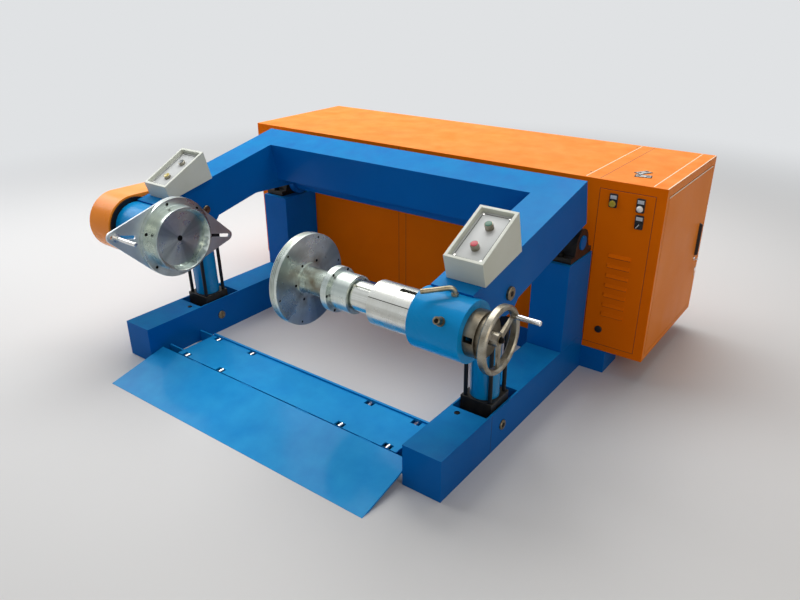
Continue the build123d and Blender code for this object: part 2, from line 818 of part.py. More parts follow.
# Handwheel with its crank handle, on the lead screw that moves the quill
handle_y = spindle_y + handle_circle * cos(radians(spoke_turn))
handle_z = spindle_z + handle_circle * sin(radians(spoke_turn))
with BuildPart() as handwheel:
    wheel_plane = Plane(origin=(wheel_x, spindle_y, spindle_z), x_dir=(0, 1, 0), z_dir=(0, 0, 1))
    with BuildSketch(wheel_plane):
        with Locations((wheel_radius - rim_depth / 2, 0)):
            rim_section = Rectangle(rim_depth, rim_width)
        chamfer(rim_section.vertices(), rim_chamfer)
    revolve(axis=Axis((wheel_x, spindle_y, spindle_z), (1, 0, 0)))
    with BuildSketch(across(wheel_x + wheel_hub_face)):
        Circle(wheel_hub_radius)
    extrude(amount=-wheel_hub_length)
    for angle in (spoke_turn, spoke_turn + 120, spoke_turn + 240):
        with BuildSketch(along_axis(wheel_x, angle)):
            Rectangle(spoke_thickness, spoke_width)
        extrude(amount=wheel_radius - rim_depth / 2, taper=spoke_taper)
    with BuildSketch(facing(wheel_x, handle_y, handle_z)):
        Circle(handle_radius)
    extrude(amount=rim_width / 2)
    with BuildSketch(across(screw_start)):
        Circle(screw_radius)
    extrude(amount=wheel_x + wheel_hub_face - screw_start)
save(handwheel, "handwheel")

with BuildPart() as crank_handle:
    with BuildSketch(facing(wheel_x + rim_width / 2, handle_y, handle_z)):
        Circle(handle_radius)
    extrude(amount=handle_length - rim_width / 2)
    chamfer(crank_handle.faces().sort_by(Axis.X)[-1].edges(), handle_radius / 4)
save(crank_handle, "crank_handle")

# Clamp lever on top of the tailstock barrel: a bent rod that stands in a collar
lever_foot = Vector(lever_x, spindle_y, spindle_z + barrel_radius + running_gap)
lever_bend = lever_foot + Vector(0, 0, lever_rise)
lever_tip = lever_foot + Vector(-lever_reach, -lever_side, lever_tip_rise)
with BuildPart() as clamp_lever:
    with BuildLine():
        FilletPolyline(lever_foot, lever_bend, lever_tip, radius=2 * lever_radius)
    with BuildSketch(Plane(origin=lever_foot, x_dir=(1, 0, 0), z_dir=(0, 0, 1))):
        Circle(lever_radius)
    sweep()
    chamfer(clamp_lever.faces().filter_by(GeomType.PLANE).sort_by(Axis.X)[0].edges(), lever_radius / 4)
    with BuildSketch(Plane(origin=lever_foot, x_dir=(1, 0, 0), z_dir=(0, 0, 1))):
        Circle(lever_collar_radius)
    extrude(amount=lever_collar)
save(clamp_lever, "clamp_lever")

with BuildPart() as lock_screw:
    lock_dir = Vector(0, -cos(radians(lock_screw_angle)), sin(radians(lock_screw_angle)))
    lock_origin = Vector(lock_screw_x, spindle_y, spindle_z) + lock_dir * barrel_radius
    for radius, length in ((lock_screw_radius, lock_screw_length), (lock_collar_radius, lock_collar)):
        with BuildSketch(Plane(origin=lock_origin, x_dir=(1, 0, 0), z_dir=lock_dir)):
            Circle(radius)
            Circle(lock_screw_radius / 2, mode=Mode.SUBTRACT)
        extrude(amount=length)
save(lock_screw, "lock_screw")

# Control boxes: sloping desks with a recessed plate and two push buttons each
recess_slope = degrees(atan2(box_rear_height - box_front_height, box_rear - box_front))
desk_length = (box_rear - box_front) / cos(radians(recess_slope))
desk_tilt = radians(arm_slope + recess_slope)
box_places = {"left": (-beam_x + box_shift, left_box_drop), "right": (beam_x + box_shift, 0.0)}


def desk(x, drop, depth=0.0):
    """Plane of a control box's sloping top, lowered by drop and sunk by depth."""
    middle = on_arm(
        (box_front + box_rear) / 2 - box_lean,
        arm_above + (box_front_height + box_rear_height) / 2 - drop,
    )
    top = Plane(origin=(x, *middle), x_dir=(1, 0, 0), z_dir=(0, -sin(desk_tilt), cos(desk_tilt)))
    return top.offset(-depth)


for side, (centre, drop) in box_places.items():
    with BuildPart() as control_box:
        with BuildSketch(Plane.YZ.offset(centre)):
            with BuildLine():
                Polyline(
                    on_arm(box_front, arm_above),
                    on_arm(box_rear, arm_above),
                    on_arm(box_rear - box_lean, arm_above + box_rear_height - drop),
                    on_arm(box_front - box_lean, arm_above + box_front_height - drop),
                    close=True,
                )
            make_face()
        extrude(amount=box_width / 2, both=True)
        with BuildSketch(desk(centre, drop)):
            Rectangle(box_width - 2 * box_rim, desk_length - 2 * box_rim)
        extrude(amount=-box_recess, mode=Mode.SUBTRACT)
    save(control_box, f"{side}_control_box")

with BuildPart() as push_buttons:
    for centre, drop in box_places.values():
        for radius, height in ((button_bezel_radius, bezel_height), (button_radius, button_height)):
            with BuildSketch(desk(centre, drop, box_recess)):
                with GridLocations(button_spacing, button_spacing, 1, 2):
                    Circle(radius)
            extrude(amount=height)
save(push_buttons, "push_buttons")

# Cabinet: closed drive housing, and a switch room with its own walls and side door
with BuildPart() as drive_housing:
    with BuildSketch(Plane.XY.offset(cabinet_bottom)):
        with Locations(((switch_wall - cabinet_side) / 2, (cabinet_front + cabinet_back) / 2)):
            Rectangle(cabinet_side + switch_wall, cabinet_depth)
    extrude(amount=cabinet_height)
    fillet(drive_housing.edges().filter_by(Axis.Z).sort_by(Axis.X)[:2], edge_round)
save(drive_housing, "drive_housing")

room_x = (switch_wall + cabinet_side) / 2
room_y = (cabinet_front + cabinet_back) / 2
for name, z in (("switch_room_floor", cabinet_bottom), ("switch_room_roof", cabinet_top - sheet)):
    with BuildPart() as wall:
        with BuildSketch(Plane.XY.offset(z)):
            with Locations((room_x, room_y)):
                Rectangle(switch_room, cabinet_depth)
        extrude(amount=sheet)
    save(wall, name)

for name, y in (("switch_room_front", cabinet_front), ("switch_room_back", cabinet_back - sheet)):
    with BuildPart() as wall:
        with BuildSketch(Plane.XY.offset(cabinet_bottom + sheet)):
            with Locations((room_x, y + sheet / 2)):
                Rectangle(switch_room, sheet)
        extrude(amount=cabinet_height - 2 * sheet)
    save(wall, name)

door_front = cabinet_front + door_margin_y
door_back = cabinet_back - door_margin_y
door_low = cabinet_bottom + door_margin_bottom
door_high = cabinet_top - door_margin_top
door_mid_y = (door_front + door_back) / 2
door_mid_z = (door_low + door_high) / 2
door_pin_x = cabinet_side - door_pin_depth
door_pin_y = door_front + door_gap + door_pin_inset

with BuildPart() as side_frame:
    with BuildSketch(facing(cabinet_side - sheet, room_y, cabinet_bottom + cabinet_height / 2)):
        Rectangle(cabinet_depth - 2 * sheet, cabinet_height - 2 * sheet)
    extrude(amount=sheet)
    with BuildSketch(facing(cabinet_side - sheet, door_mid_y, door_mid_z)):
        Rectangle(door_back - door_front, door_high - door_low)
    extrude(amount=sheet, mode=Mode.SUBTRACT)
save(side_frame, "side_frame")

with BuildPart() as cabinet_door:
    door_height = door_high - door_low - 2 * door_gap
    door_length = door_back - door_front - 2 * door_gap
    with BuildSketch(facing(cabinet_side, door_mid_y, door_mid_z)):
        Rectangle(door_length, door_height)
    extrude(amount=-door_depth)
    with BuildSketch(facing(cabinet_side - sheet, door_mid_y, door_mid_z)):
        Rectangle(door_length - 2 * sheet, door_height - 2 * sheet)
    extrude(amount=sheet - door_depth, mode=Mode.SUBTRACT)
    with BuildSketch(Plane.XY.offset(door_low + door_gap)):
        with Locations((door_pin_x, door_pin_y)):
            Circle(door_pin_radius + running_gap)
    extrude(amount=door_height, mode=Mode.SUBTRACT)
save(cabinet_door, "cabinet_door")

# Hinge pins stand on ledges of the frame and reach into the door's top and bottom edges
with BuildPart() as door_hinges:
    for edge_z, way in ((door_low, 1), (door_high, -1)):
        with BuildSketch(Plane.XY.offset(edge_z)):
            with Locations((door_pin_x, door_pin_y)):
                Circle(door_pin_radius)
        extrude(amount=way * (door_gap + 4 * sheet))
        with BuildSketch(Plane.XY.offset(edge_z)):
            with Locations((cabinet_side - sheet - door_depth / 2, door_pin_y)):
                Rectangle(door_depth, 2 * door_depth)
        extrude(amount=-way * 2 * sheet)
save(door_hinges, "door_hinges")

with BuildPart() as door_handle:
    handle_y_place = door_back - 3 * handle_width
    with BuildSketch(facing(cabinet_side, handle_y_place, cabinet_bottom + cabinet_height / 2 + 30)):
        Rectangle(handle_width, handle_height)
    extrude(amount=handle_stand)
    chamfer(door_handle.faces().sort_by(Axis.X)[-1].edges(), edge_round)
save(door_handle, "door_handle")

# Switch panel on the cabinet's front with a button, a lamp and a rotary switch
panel_x = cabinet_side - switch_panel_inset - switch_panel_width / 2
panel_z = cabinet_bottom + switch_panel_rise + switch_panel_height / 2
with BuildPart() as switch_panel:
    with BuildSketch(Plane.XZ.offset(-cabinet_front)):
        with Locations((panel_x, panel_z)):
            Rectangle(switch_panel_width, switch_panel_height)
    extrude(amount=switch_panel_thickness)
save(switch_panel, "switch_panel")

panel_face = Plane.XZ.offset(-cabinet_front + switch_panel_thickness)
switch_places = [(panel_x + x, panel_z + z) for x, z in switch_offsets]
with BuildPart() as panel_switches:
    for radius, height in ((button_bezel_radius, bezel_height), (button_radius, button_height)):
        with BuildSketch(panel_face):
            with Locations(*switch_places):
                Circle(radius)
        extrude(amount=height)
save(panel_switches, "panel_switches")
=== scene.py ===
# Wire pay-off machine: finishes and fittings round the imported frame, in metres
import json
from functools import partial
from math import cos, pi, radians, sin, sqrt

import bpy
from mathutils import Matrix, Vector


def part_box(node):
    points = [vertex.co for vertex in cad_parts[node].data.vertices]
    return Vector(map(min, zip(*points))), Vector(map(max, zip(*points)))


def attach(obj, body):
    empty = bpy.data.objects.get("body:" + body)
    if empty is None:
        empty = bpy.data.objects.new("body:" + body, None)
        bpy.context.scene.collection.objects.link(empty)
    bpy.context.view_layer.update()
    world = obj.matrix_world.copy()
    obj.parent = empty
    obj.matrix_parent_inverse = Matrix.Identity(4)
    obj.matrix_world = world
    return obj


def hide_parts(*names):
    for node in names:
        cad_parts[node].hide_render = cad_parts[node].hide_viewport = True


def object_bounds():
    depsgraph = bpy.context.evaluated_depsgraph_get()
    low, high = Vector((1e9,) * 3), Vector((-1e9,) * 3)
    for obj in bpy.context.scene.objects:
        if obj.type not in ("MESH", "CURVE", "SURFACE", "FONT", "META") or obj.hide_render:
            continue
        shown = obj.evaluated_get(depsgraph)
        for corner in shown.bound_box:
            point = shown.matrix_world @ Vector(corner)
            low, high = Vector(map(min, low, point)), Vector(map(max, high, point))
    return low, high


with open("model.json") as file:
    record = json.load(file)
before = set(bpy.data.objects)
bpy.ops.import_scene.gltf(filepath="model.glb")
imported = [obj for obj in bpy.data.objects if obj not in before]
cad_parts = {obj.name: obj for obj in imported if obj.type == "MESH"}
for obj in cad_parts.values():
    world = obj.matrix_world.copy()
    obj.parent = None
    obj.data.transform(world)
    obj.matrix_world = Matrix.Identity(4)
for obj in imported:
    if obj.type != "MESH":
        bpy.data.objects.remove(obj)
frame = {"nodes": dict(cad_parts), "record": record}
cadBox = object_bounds()
nodes = frame["nodes"]
print("frame loaded:", len(nodes), "nodes")

toScene = bpy.context.scene.collection.objects.link

# Places read from the frame, and the slope of the swing frame at rest
ringLow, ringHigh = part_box("guard_ring")
spindleY = (ringLow.y + ringHigh.y) / 2
spindleZ = (ringLow.z + ringHigh.z) / 2
armSlope = radians(12.08)
armAlong = Vector((0, cos(armSlope), sin(armSlope)))
armUp = Vector((0, -sin(armSlope), cos(armSlope)))


# Millimetres to metres, one length or several
def mm(*lengths):
    metres = [length / 1000.0 for length in lengths]
    return metres if len(metres) > 1 else metres[0]


def spin(degrees, axis="Z"):
    return Matrix.Rotation(radians(degrees), 4, axis)


def onArm(x, along, above):
    return Vector((x, spindleY, spindleZ)) + armAlong * along + armUp * above


# Camera at the photograph's place
cameraSet = {
    "place": (1.876, -2.791, 1.622),
    "forward": (-0.5417, 0.7271, -0.4217),
    "roll": -0.17,
    "lens": 31.58,
    "sensor": 36.0,
}
cameraData = bpy.data.cameras.new("camera")
camera = bpy.data.objects.new("camera", cameraData)
toScene(camera)
cameraData.lens = cameraSet["lens"]
cameraData.sensor_width = cameraSet["sensor"]
aim = Vector(cameraSet["forward"]).to_track_quat("-Z", "Y").to_matrix().to_4x4()
camera.matrix_world = Matrix.Translation(cameraSet["place"]) @ aim @ spin(cameraSet["roll"])
bpy.context.scene.camera = camera
print("camera placed")


# Materials
def linear(hexColour):
    parts = [int(hexColour[i : i + 2], 16) / 255 for i in (1, 3, 5)]
    return tuple(c / 12.92 if c <= 0.04045 else ((c + 0.055) / 1.055) ** 2.4 for c in parts) + (1.0,)


# A source is a socket, or a node whose first live output is meant
def liveOutput(source):
    if isinstance(source, bpy.types.NodeSocket):
        return source
    return next(socket for socket in source.outputs if socket.enabled)


def addNode(tree, kind, values=None, links=None, stops=(), **settings):
    node = tree.nodes.new("ShaderNode" + kind)
    for key, value in settings.items():
        setattr(node, key, value)
    for socket, value in (values or {}).items():
        node.inputs[socket].default_value = value
    for socket, source in (links or {}).items():
        tree.links.new(liveOutput(source), node.inputs[socket])
    for number, (place, grey) in enumerate(stops):
        element = node.color_ramp.elements[number] if number < 2 else node.color_ramp.elements.new(place)
        element.position = place
        element.color = (grey, grey, grey, 1)
    return node


def linkTo(node, **sources):
    for socket, source in sources.items():
        node.id_data.links.new(liveOutput(source), node.inputs[socket.replace("_", " ")])


def perMetre(millimetres):
    return 1000.0 / millimetres


# Gives the material, the add-node function of its tree, its shader and the object coordinates
def newMaterial(name, colour, roughness, metallic=0.0, **sockets):
    material = bpy.data.materials.new(name)
    material.use_nodes = True
    tree = material.node_tree
    shader = tree.nodes["Principled BSDF"]
    shader.inputs["Base Color"].default_value = linear(colour)
    shader.inputs["Roughness"].default_value = roughness
    shader.inputs["Metallic"].default_value = metallic
    for socket, value in sockets.items():
        shader.inputs[socket.replace("_", " ")].default_value = value
    material.diffuse_color = linear(colour)
    add = partial(addNode, tree)
    return material, add, shader, add("TexCoord").outputs["Object"]


# Sprayed paint on welded steel: slow drift in tone, orange peel, and on level faces a film that is partly
# dust and partly painted light, lighter and of another hue than the sides
def paint(name, colour, deep, dustAndTopLightColour, dustAndTopLight, roughness, coat, sheen, drift, peel, bump):
    material, add, shader, place = newMaterial(name, colour, roughness, IOR=1.38, Specular_IOR_Level=sheen,
        Coat_Weight=coat, Coat_Roughness=0.12)
    wave = add("TexNoise", {"Scale": perMetre(drift), "Detail": 3.0}, {"Vector": place})
    drifted = add("ValToRGB", links={"Fac": wave}, stops=((0.35, 0.0), (0.7, 1.0)))
    shade = add("Mix", {"A": linear(colour), "B": linear(deep)}, {"Factor": drifted}, data_type="RGBA")
    normal = add("NewGeometry").outputs["Normal"]
    facing = add("SeparateXYZ", links={"Vector": normal})
    # faces that look up take the dust colour: part real dust, part painted light that makes the tops lighter
    level = add("ValToRGB", links={"Fac": facing.outputs["Z"]}, stops=((0.75, 0.0), (0.98, dustAndTopLight)))
    cloud = add("TexNoise", {"Scale": perMetre(110), "Detail": 6.0, "Roughness": 0.6}, {"Vector": place})
    cloudy = add("ValToRGB", links={"Fac": cloud}, stops=((0.25, 0.3), (0.75, 1.0)))
    dustAndTopLightFilm = add("Math", links={0: level, 1: cloudy}, operation="MULTIPLY")
    dustedAndTopLit = add("Mix", {"B": linear(dustAndTopLightColour)}, {"Factor": dustAndTopLightFilm, "A": shade}, data_type="RGBA")
    smear = add("TexNoise", {"Scale": perMetre(220), "Detail": 4.0, "Distortion": 0.5}, {"Vector": place})
    gloss = add("MapRange", {"From Min": 0.3, "From Max": 0.75, "To Min": roughness - 0.05,
        "To Max": roughness + 0.08}, {"Value": smear})
    rough = add("Math", {1: 0.3}, {0: dustAndTopLightFilm, 2: gloss}, operation="MULTIPLY_ADD")
    # real orange peel is about 1 mm across: drawn at 5 mm, as fine as the render shows
    skin = add("TexNoise", {"Scale": perMetre(peel), "Detail": 2.0}, {"Vector": place})
    relief = add("Bump", {"Strength": bump, "Distance": 0.001}, {"Height": skin})
    linkTo(shader, Base_Color=dustedAndTopLit, Roughness=rough, Normal=relief)
    return material


# colour, deeper drift, colour of the dust and painted top light, strength of the dust and painted top light,
# roughness, coat, sheen, drift and peel in mm, bump
paintRows = {
    "blueSprayedEnamel": ("#0064b4", "#005caa", "#1f97cf", 0.6, 0.42, 0.05, 0.07, 420, 5, 0.07),
    # the barrels' gloss is real; their blue, lighter than the frame's, is a painted highlight
    "blueBarrelGlossLit": ("#0896de", "#068ed4", "#2a9cd2", 0.35, 0.26, 0.14, 0.1, 300, 5, 0.04),
    "blueRampEnamel": ("#0084d2", "#007cc8", "#34b0ea", 0.6, 0.34, 0.12, 0.12, 300, 5, 0.07),
    "blueCylinderGloss": ("#0088c6", "#007dbb", "#7fa9c4", 0.1, 0.24, 0.5, 0.2, 160, 5, 0.03),
    "orangePowderCoat": ("#ec7204", "#e46a02", "#f2ae68", 0.6, 0.38, 0.0, 0.04, 500, 5, 0.06),
    # painted light: a lighter, yellower copy of the orange for the cabinet's side and door, which are more
    # brightly lit
    "orangeLitSideCoat": ("#f28a2a", "#ea8224", "#eea24c", 0.3, 0.36, 0.0, 0.05, 400, 5, 0.06),
    # painted light: the guard's orange is lighter than the cabinet's because the guard is more brightly lit
    "orangeGuardLitEnamel": ("#ff9830", "#fa902a", "#ffc084", 0.6, 0.3, 0.12, 0.14, 260, 5, 0.05),
    # painted highlight: a near-white colour for strips that stand for light on sheet edges
    "paintedEdgeHighlight": ("#ffe8cc", "#fcdcb8", "#ffe0c0", 0.0, 0.3, 0.3, 0.2, 200, 5, 0.03),
    "greyPowderCoat": ("#d6dbd2", "#cfd4c9", "#fafdfa", 0.6, 0.45, 0.05, 0.12, 120, 4, 0.1),
    "blackCylinderPaint": ("#15171a", "#1c1e20", "#3f403f", 0.25, 0.34, 0.15, 0.2, 90, 4, 0.08),
    "blackGreasyCasting": ("#1b1c1c", "#2c2a26", "#443e34", 0.45, 0.42, 0.2, 0.2, 28, 3, 0.35),
}
(bluePaint, litBarrelPaint, leafPaint, tubePaint, orangePaint, litSidePaint, litGuardPaint, highlightPaint, greyPaint,
    blackPaint, castPaint) = [paint(name, *row) for name, row in paintRows.items()]


# Steel turned on a lathe: faint rings, sectors darkened round the axis as a painted reflection, and patches
# of oil stain
def turnedSteel(name, colour, stainColour, dark, roughness, fan, lobes, reflectionSectorShade, pitch, bands, bump, rust):
    material, add, shader, place = newMaterial(name, colour, roughness, 1.0, Anisotropic=fan)
    centred = add("VectorMath", {1: (0, -spindleY, -spindleZ)}, {0: place}, operation="ADD")
    parts = add("SeparateXYZ", links={"Vector": centred})
    spoke = add("VectorMath", {1: (0, 1, 1)}, {0: centred}, operation="MULTIPLY")
    radius = add("VectorMath", links={0: spoke}, operation="LENGTH")
    around = add("VectorMath", links={0: spoke}, operation="NORMALIZE")
    both = add("CombineXYZ", links={"X": parts.outputs["X"], "Y": radius})
    # tool marks are about 0.2 mm apart: drawn at 5 mm and more, as fine as the render shows
    marks = add("TexNoise", {"Scale": perMetre(pitch), "Detail": 2.0}, {"Vector": both})
    # the painted reflection's sectors run along the radius and don't change with the distance from the axis
    paintedReflectionSectors = add("TexNoise", {"Scale": lobes, "Detail": 2.0, "Roughness": 0.5}, {"Vector": around})
    stain = add("TexNoise", {"Scale": perMetre(70), "Detail": 4.0, "Distortion": 0.4}, {"Vector": place})
    spots = add("ValToRGB", links={"Fac": stain}, stops=((0.42, 0.0), (0.78, 1.0)))
    tone = add("Mix", {"A": linear(colour), "B": linear(stainColour)}, {"Factor": spots}, data_type="RGBA")
    reflectionFan = add("ValToRGB", links={"Fac": paintedReflectionSectors}, stops=((0.38, 0.0), (0.62, reflectionSectorShade)))
    withPaintedReflection = add("Mix", {"B": linear(dark)}, {"Factor": reflectionFan, "A": tone}, data_type="RGBA")
    lines = add("ValToRGB", links={"Fac": marks}, stops=((0.4, 0.0), (0.75, bands)))
    banded = add("Mix", {"B": linear(dark)}, {"Factor": lines, "A": withPaintedReflection}, data_type="RGBA")
    rustAt = add("MapRange", {"From Min": mm(rust[0]), "From Max": mm(rust[1]), "To Min": 1.0, "To Max": 0.0},
        {"Value": radius})
    rustHere = add("Math", links={0: rustAt, 1: spots}, operation="MULTIPLY")
    rusted = add("Mix", {"B": linear("#6c4f33")}, {"Factor": rustHere, "A": banded}, data_type="RGBA")
    rough = add("MapRange", {"From Min": 0.3, "From Max": 0.7, "To Min": roughness - 0.03,
        "To Max": roughness + 0.08}, {"Value": stain})
    relief = add("Bump", {"Strength": bump, "Distance": 0.0005}, {"Height": marks})
    lathe = add("VectorMath", {1: (1, 0, 0)}, {0: around}, operation="CROSS_PRODUCT")
    tangent = add("VectorTransform", links={"Vector": lathe}, vector_type="VECTOR", convert_from="OBJECT",
        convert_to="WORLD")
    linkTo(shader, Base_Color=rusted, Roughness=rough, Normal=relief, Tangent=tangent)
    return material


# colour, stain, dark, roughness, fan, lobes, painted reflection sectors, pitch in mm, bands, bump, rust from
# and to in mm
turnedRows = {
    "turnedSteelFace": ("#dce4de", "#c6cec8", "#8c9896", 0.27, 0.5, 1.3, 0.8, 6.0, 0.2, 0.03, (0, 1)),
    "stainedSteelNeck": ("#d8e0da", "#b9bbae", "#8c9694", 0.27, 0.45, 1.3, 0.8, 6.0, 0.2, 0.03, (62, 115)),
    "groundSteelQuill": ("#e8eae6", "#d8dad4", "#b9bbb4", 0.16, 0.2, 4.0, 0.7, 8.0, 0.15, 0.02, (0, 1)),
    "turnedSteelSleeve": ("#e6e8e4", "#d2d2ca", "#aeaea6", 0.25, 0.3, 3.2, 0.6, 5.0, 0.3, 0.04, (0, 1)),
}
faceSteel, neckSteel, quillSteel, sleeveSteel = [turnedSteel(name, *row) for name, row in turnedRows.items()]


# Plate and bar steel, rolled or brushed along one way
def barSteel(name, colour, stainColour, roughness, grainSize, stretch, patch, bump):
    material, add, shader, place = newMaterial(name, colour, roughness, 1.0)
    drawn = add("Mapping", {"Scale": (1, stretch, 1)}, {"Vector": place})
    grain = add("TexNoise", {"Scale": perMetre(grainSize), "Detail": 3.0, "Roughness": 0.6},
        {"Vector": drawn})
    stain = add("TexNoise", {"Scale": perMetre(patch), "Detail": 4.0}, {"Vector": place})
    spots = add("ValToRGB", links={"Fac": stain}, stops=((0.4, 0.0), (0.72, 1.0)))
    tone = add("Mix", {"A": linear(colour), "B": linear(stainColour)}, {"Factor": spots}, data_type="RGBA")
    rough = add("MapRange", {"From Min": 0.3, "From Max": 0.7, "To Min": roughness - 0.05,
        "To Max": roughness + 0.10}, {"Value": grain})
    relief = add("Bump", {"Strength": bump, "Distance": 0.0005}, {"Height": grain})
    linkTo(shader, Base_Color=tone, Roughness=rough, Normal=relief)
    return material


# colour, stain, roughness, grain in mm, stretch along Y, patch in mm, bump
barRows = {
    "groundSteelPlate": ("#c4ccd0", "#b0b7ba", 0.4, 5, 0.1, 90, 0.05),
    "brownedTurnedSteel": ("#868072", "#5a5244", 0.36, 5, 1, 45, 0.06),
    "polishedCastSteel": ("#a09b8e", "#6a6150", 0.3, 4, 1, 40, 0.08),
    "chromedSteel": ("#dcdcda", "#cfcecb", 0.16, 8, 1, 60, 0.02),
    "wornBarSteel": ("#a39a86", "#7d735c", 0.3, 5, 1, 18, 0.06),
    "greasyPinSteel": ("#8f836a", "#54483a", 0.34, 5, 1, 14, 0.08),
    "blackOxideSteel": ("#232221", "#151413", 0.4, 4, 1, 20, 0.05),
}
(plateSteel, lanternSteel, castSteel, chromeSteel, leverSteel, pinSteel, blackOxide) = [barSteel(name, *row)
    for name, row in barRows.items()]


# Moulded plastics and printed sheets, with a faint grain
def plastic(name, colour, roughness, **sockets):
    material, add, shader, place = newMaterial(name, colour, roughness, IOR=1.5, **sockets)
    grain = add("TexNoise", {"Scale": perMetre(3), "Detail": 3.0}, {"Vector": place})
    rough = add("MapRange", {"To Min": roughness - 0.04, "To Max": roughness + 0.06}, {"Value": grain})
    relief = add("Bump", {"Strength": 0.05, "Distance": 0.0005}, {"Height": grain})
    linkTo(shader, Roughness=rough, Normal=relief)
    return material


blackPlastic = plastic("blackMouldedPlastic", "#17181a", 0.42)
redPlastic = plastic("redButtonCap", "#b81430", 0.4, Coat_Weight=0.1)
greenPlastic = plastic("greenButtonCap", "#126048", 0.4, Coat_Weight=0.1)
yellowPlastic = plastic("yellowButtonCap", "#b8a428", 0.28, Coat_Weight=0.4)
darkPlastic = plastic("darkButtonCap", "#3a4446", 0.28, Coat_Weight=0.4)
lampPlastic = plastic("whiteLampCap", "#f0f2f2", 0.18, Coat_Weight=0.5)
labelPlastic = plastic("silverLabelBlank", "#c9ced6", 0.35)
faceSheet = plastic("silverFaceSheet", "#bfc3c4", 0.45)
# the next two colours are painted shade, for seams, gaps and openings
seamShadeOrange = plastic("shadedOrangeSeam", "#7a3206", 0.6)
seamShadeBlue = plastic("shadedBlueSeam", "#05284f", 0.6)
seamBlack = plastic("darkLine", "#23211f", 0.6)


# Lights, sky and floor
def areaLight(name, place, target, size, power, colour):
    data = bpy.data.lights.new(name, "AREA")
    data.shape = "RECTANGLE"
    data.size, data.size_y = size
    data.energy = power
    data.color = linear(colour)[:3]
    lamp = bpy.data.objects.new(name, data)
    toScene(lamp)
    way = Vector(target) - Vector(place)
    lamp.matrix_world = Matrix.Translation(place) @ way.to_track_quat("-Z", "Y").to_matrix().to_4x4()
    lamp.visible_camera = False


lightSet = {
    "key": ((-0.8, 0.9, 4.2), (0.0, -0.3, 0.4), (4.6, 3.6), 212, "#fffdfa"),
    "fill": ((4.4, -3.4, 2.6), (0.0, -0.4, 0.5), (3.2, 2.4), 44, "#ffeed6"),
    "side": ((-4.4, -1.4, 2.9), (-0.4, -0.6, 0.4), (2.4, 2.4), 74, "#ffffff"),
}
for lightName, setUp in lightSet.items():
    areaLight(lightName, *setUp)

backdrop = "#e0e2e4"
sky = bpy.data.worlds.new("paleStudio")
bpy.context.scene.world = sky
sky.use_nodes = True
sky.node_tree.nodes.clear()
addSky = partial(addNode, sky.node_tree)


# Camera, glass and metal see the plain backdrop, other rays the soft light
def backdropRays(add):
    path = add("LightPath")
    clear = add("Math", links={0: path.outputs["Is Camera Ray"], 1: path.outputs["Is Transmission Ray"]},
        operation="MAXIMUM")
    return add("Math", links={0: clear, 1: path.outputs["Is Glossy Ray"]}, operation="MAXIMUM")


soft = addSky("Background", {"Color": linear("#f2f4f8"), "Strength": 0.25})
plain = addSky("Background", {"Color": linear(backdrop), "Strength": 1.0})
inView = addSky("MixShader", links={0: backdropRays(addSky), 1: soft, 2: plain})
addSky("OutputWorld", links={"Surface": inView})

bpy.context.scene.view_settings.view_transform = "Standard"


def deselectAll():
    if bpy.context.mode != "OBJECT":
        bpy.ops.object.mode_set(mode="OBJECT")
    bpy.ops.object.select_all(action="DESELECT")


def workOn(piece, *others):
    deselectAll()
    for other in others:
        other.select_set(True)
    piece.select_set(True)
    bpy.context.view_layer.objects.active = piece


# Pale floor that takes the object's shadow and fades into the backdrop with distance
floorSet = {"size": 40.0, "fadeFrom": 2.6, "fadeTo": 5.5}
deselectAll()
bpy.ops.mesh.primitive_plane_add(size=floorSet["size"], location=(0, 0, cadBox[0].z))
floor = bpy.context.object
floor.name = "floor"
floorMaterial, addFloor, floorShader, floorPlace = newMaterial("paleFloor", "#d9dadb", 0.8)
floorShader.inputs["Specular IOR Level"].default_value = 0.1
away = addFloor("VectorMath", links={0: floorPlace}, operation="LENGTH")
fade = addFloor("MapRange", {"From Min": floorSet["fadeFrom"], "From Max": floorSet["fadeTo"]},
    {"Value": away}, interpolation_type="SMOOTHSTEP")
faded = addFloor("Math", links={0: backdropRays(addFloor), 1: fade}, operation="MULTIPLY")
paleLight = addFloor("Emission", {"Color": linear(backdrop), "Strength": 1.0})
floorMix = addFloor("MixShader", links={0: faded, 1: floorShader, 2: paleLight})
linkTo(floorMaterial.node_tree.nodes["Material Output"], Surface=floorMix)
floor.data.materials.append(floorMaterial)
print("studio set up")


bodyOf = {n: body for body, members in frame["record"]["behaviour"]["bodies"].items() for n in members}


def editMesh(piece, action="SELECT"):
    workOn(piece)
    bpy.ops.object.mode_set(mode="EDIT")
    bpy.ops.mesh.select_all(action=action)


def leave():
    bpy.ops.object.mode_set(mode="OBJECT")


# Merges points closer than near and faces that meet within a small angle
def mergeFaces(piece, near, angle):
    editMesh(piece)
    bpy.ops.mesh.remove_doubles(threshold=near)
    bpy.ops.mesh.dissolve_limited(angle_limit=radians(angle))
    bpy.ops.mesh.select_all(action="DESELECT")
    leave()


def mergedCopy(node, name):
    piece = nodes[node].copy()
    piece.data = nodes[node].data.copy()
    toScene(piece)
    piece.name = name
    piece.parent = None
    piece.matrix_world = Matrix.Identity(4)
    for key in list(piece.keys()):
        del piece[key]
    mergeFaces(piece, mm(0.02), 0.3)
    return piece


def applyModifiers(piece):
    workOn(piece)
    for modifier in list(piece.modifiers):
        bpy.ops.object.modifier_apply(modifier=modifier.name)


edgeSet = {"segments": 2, "sharp": 35, "smooth": 32}


def smooth(piece, angle=edgeSet["smooth"]):
    workOn(piece)
    bpy.ops.object.shade_smooth_by_angle(angle=radians(angle))
    return piece


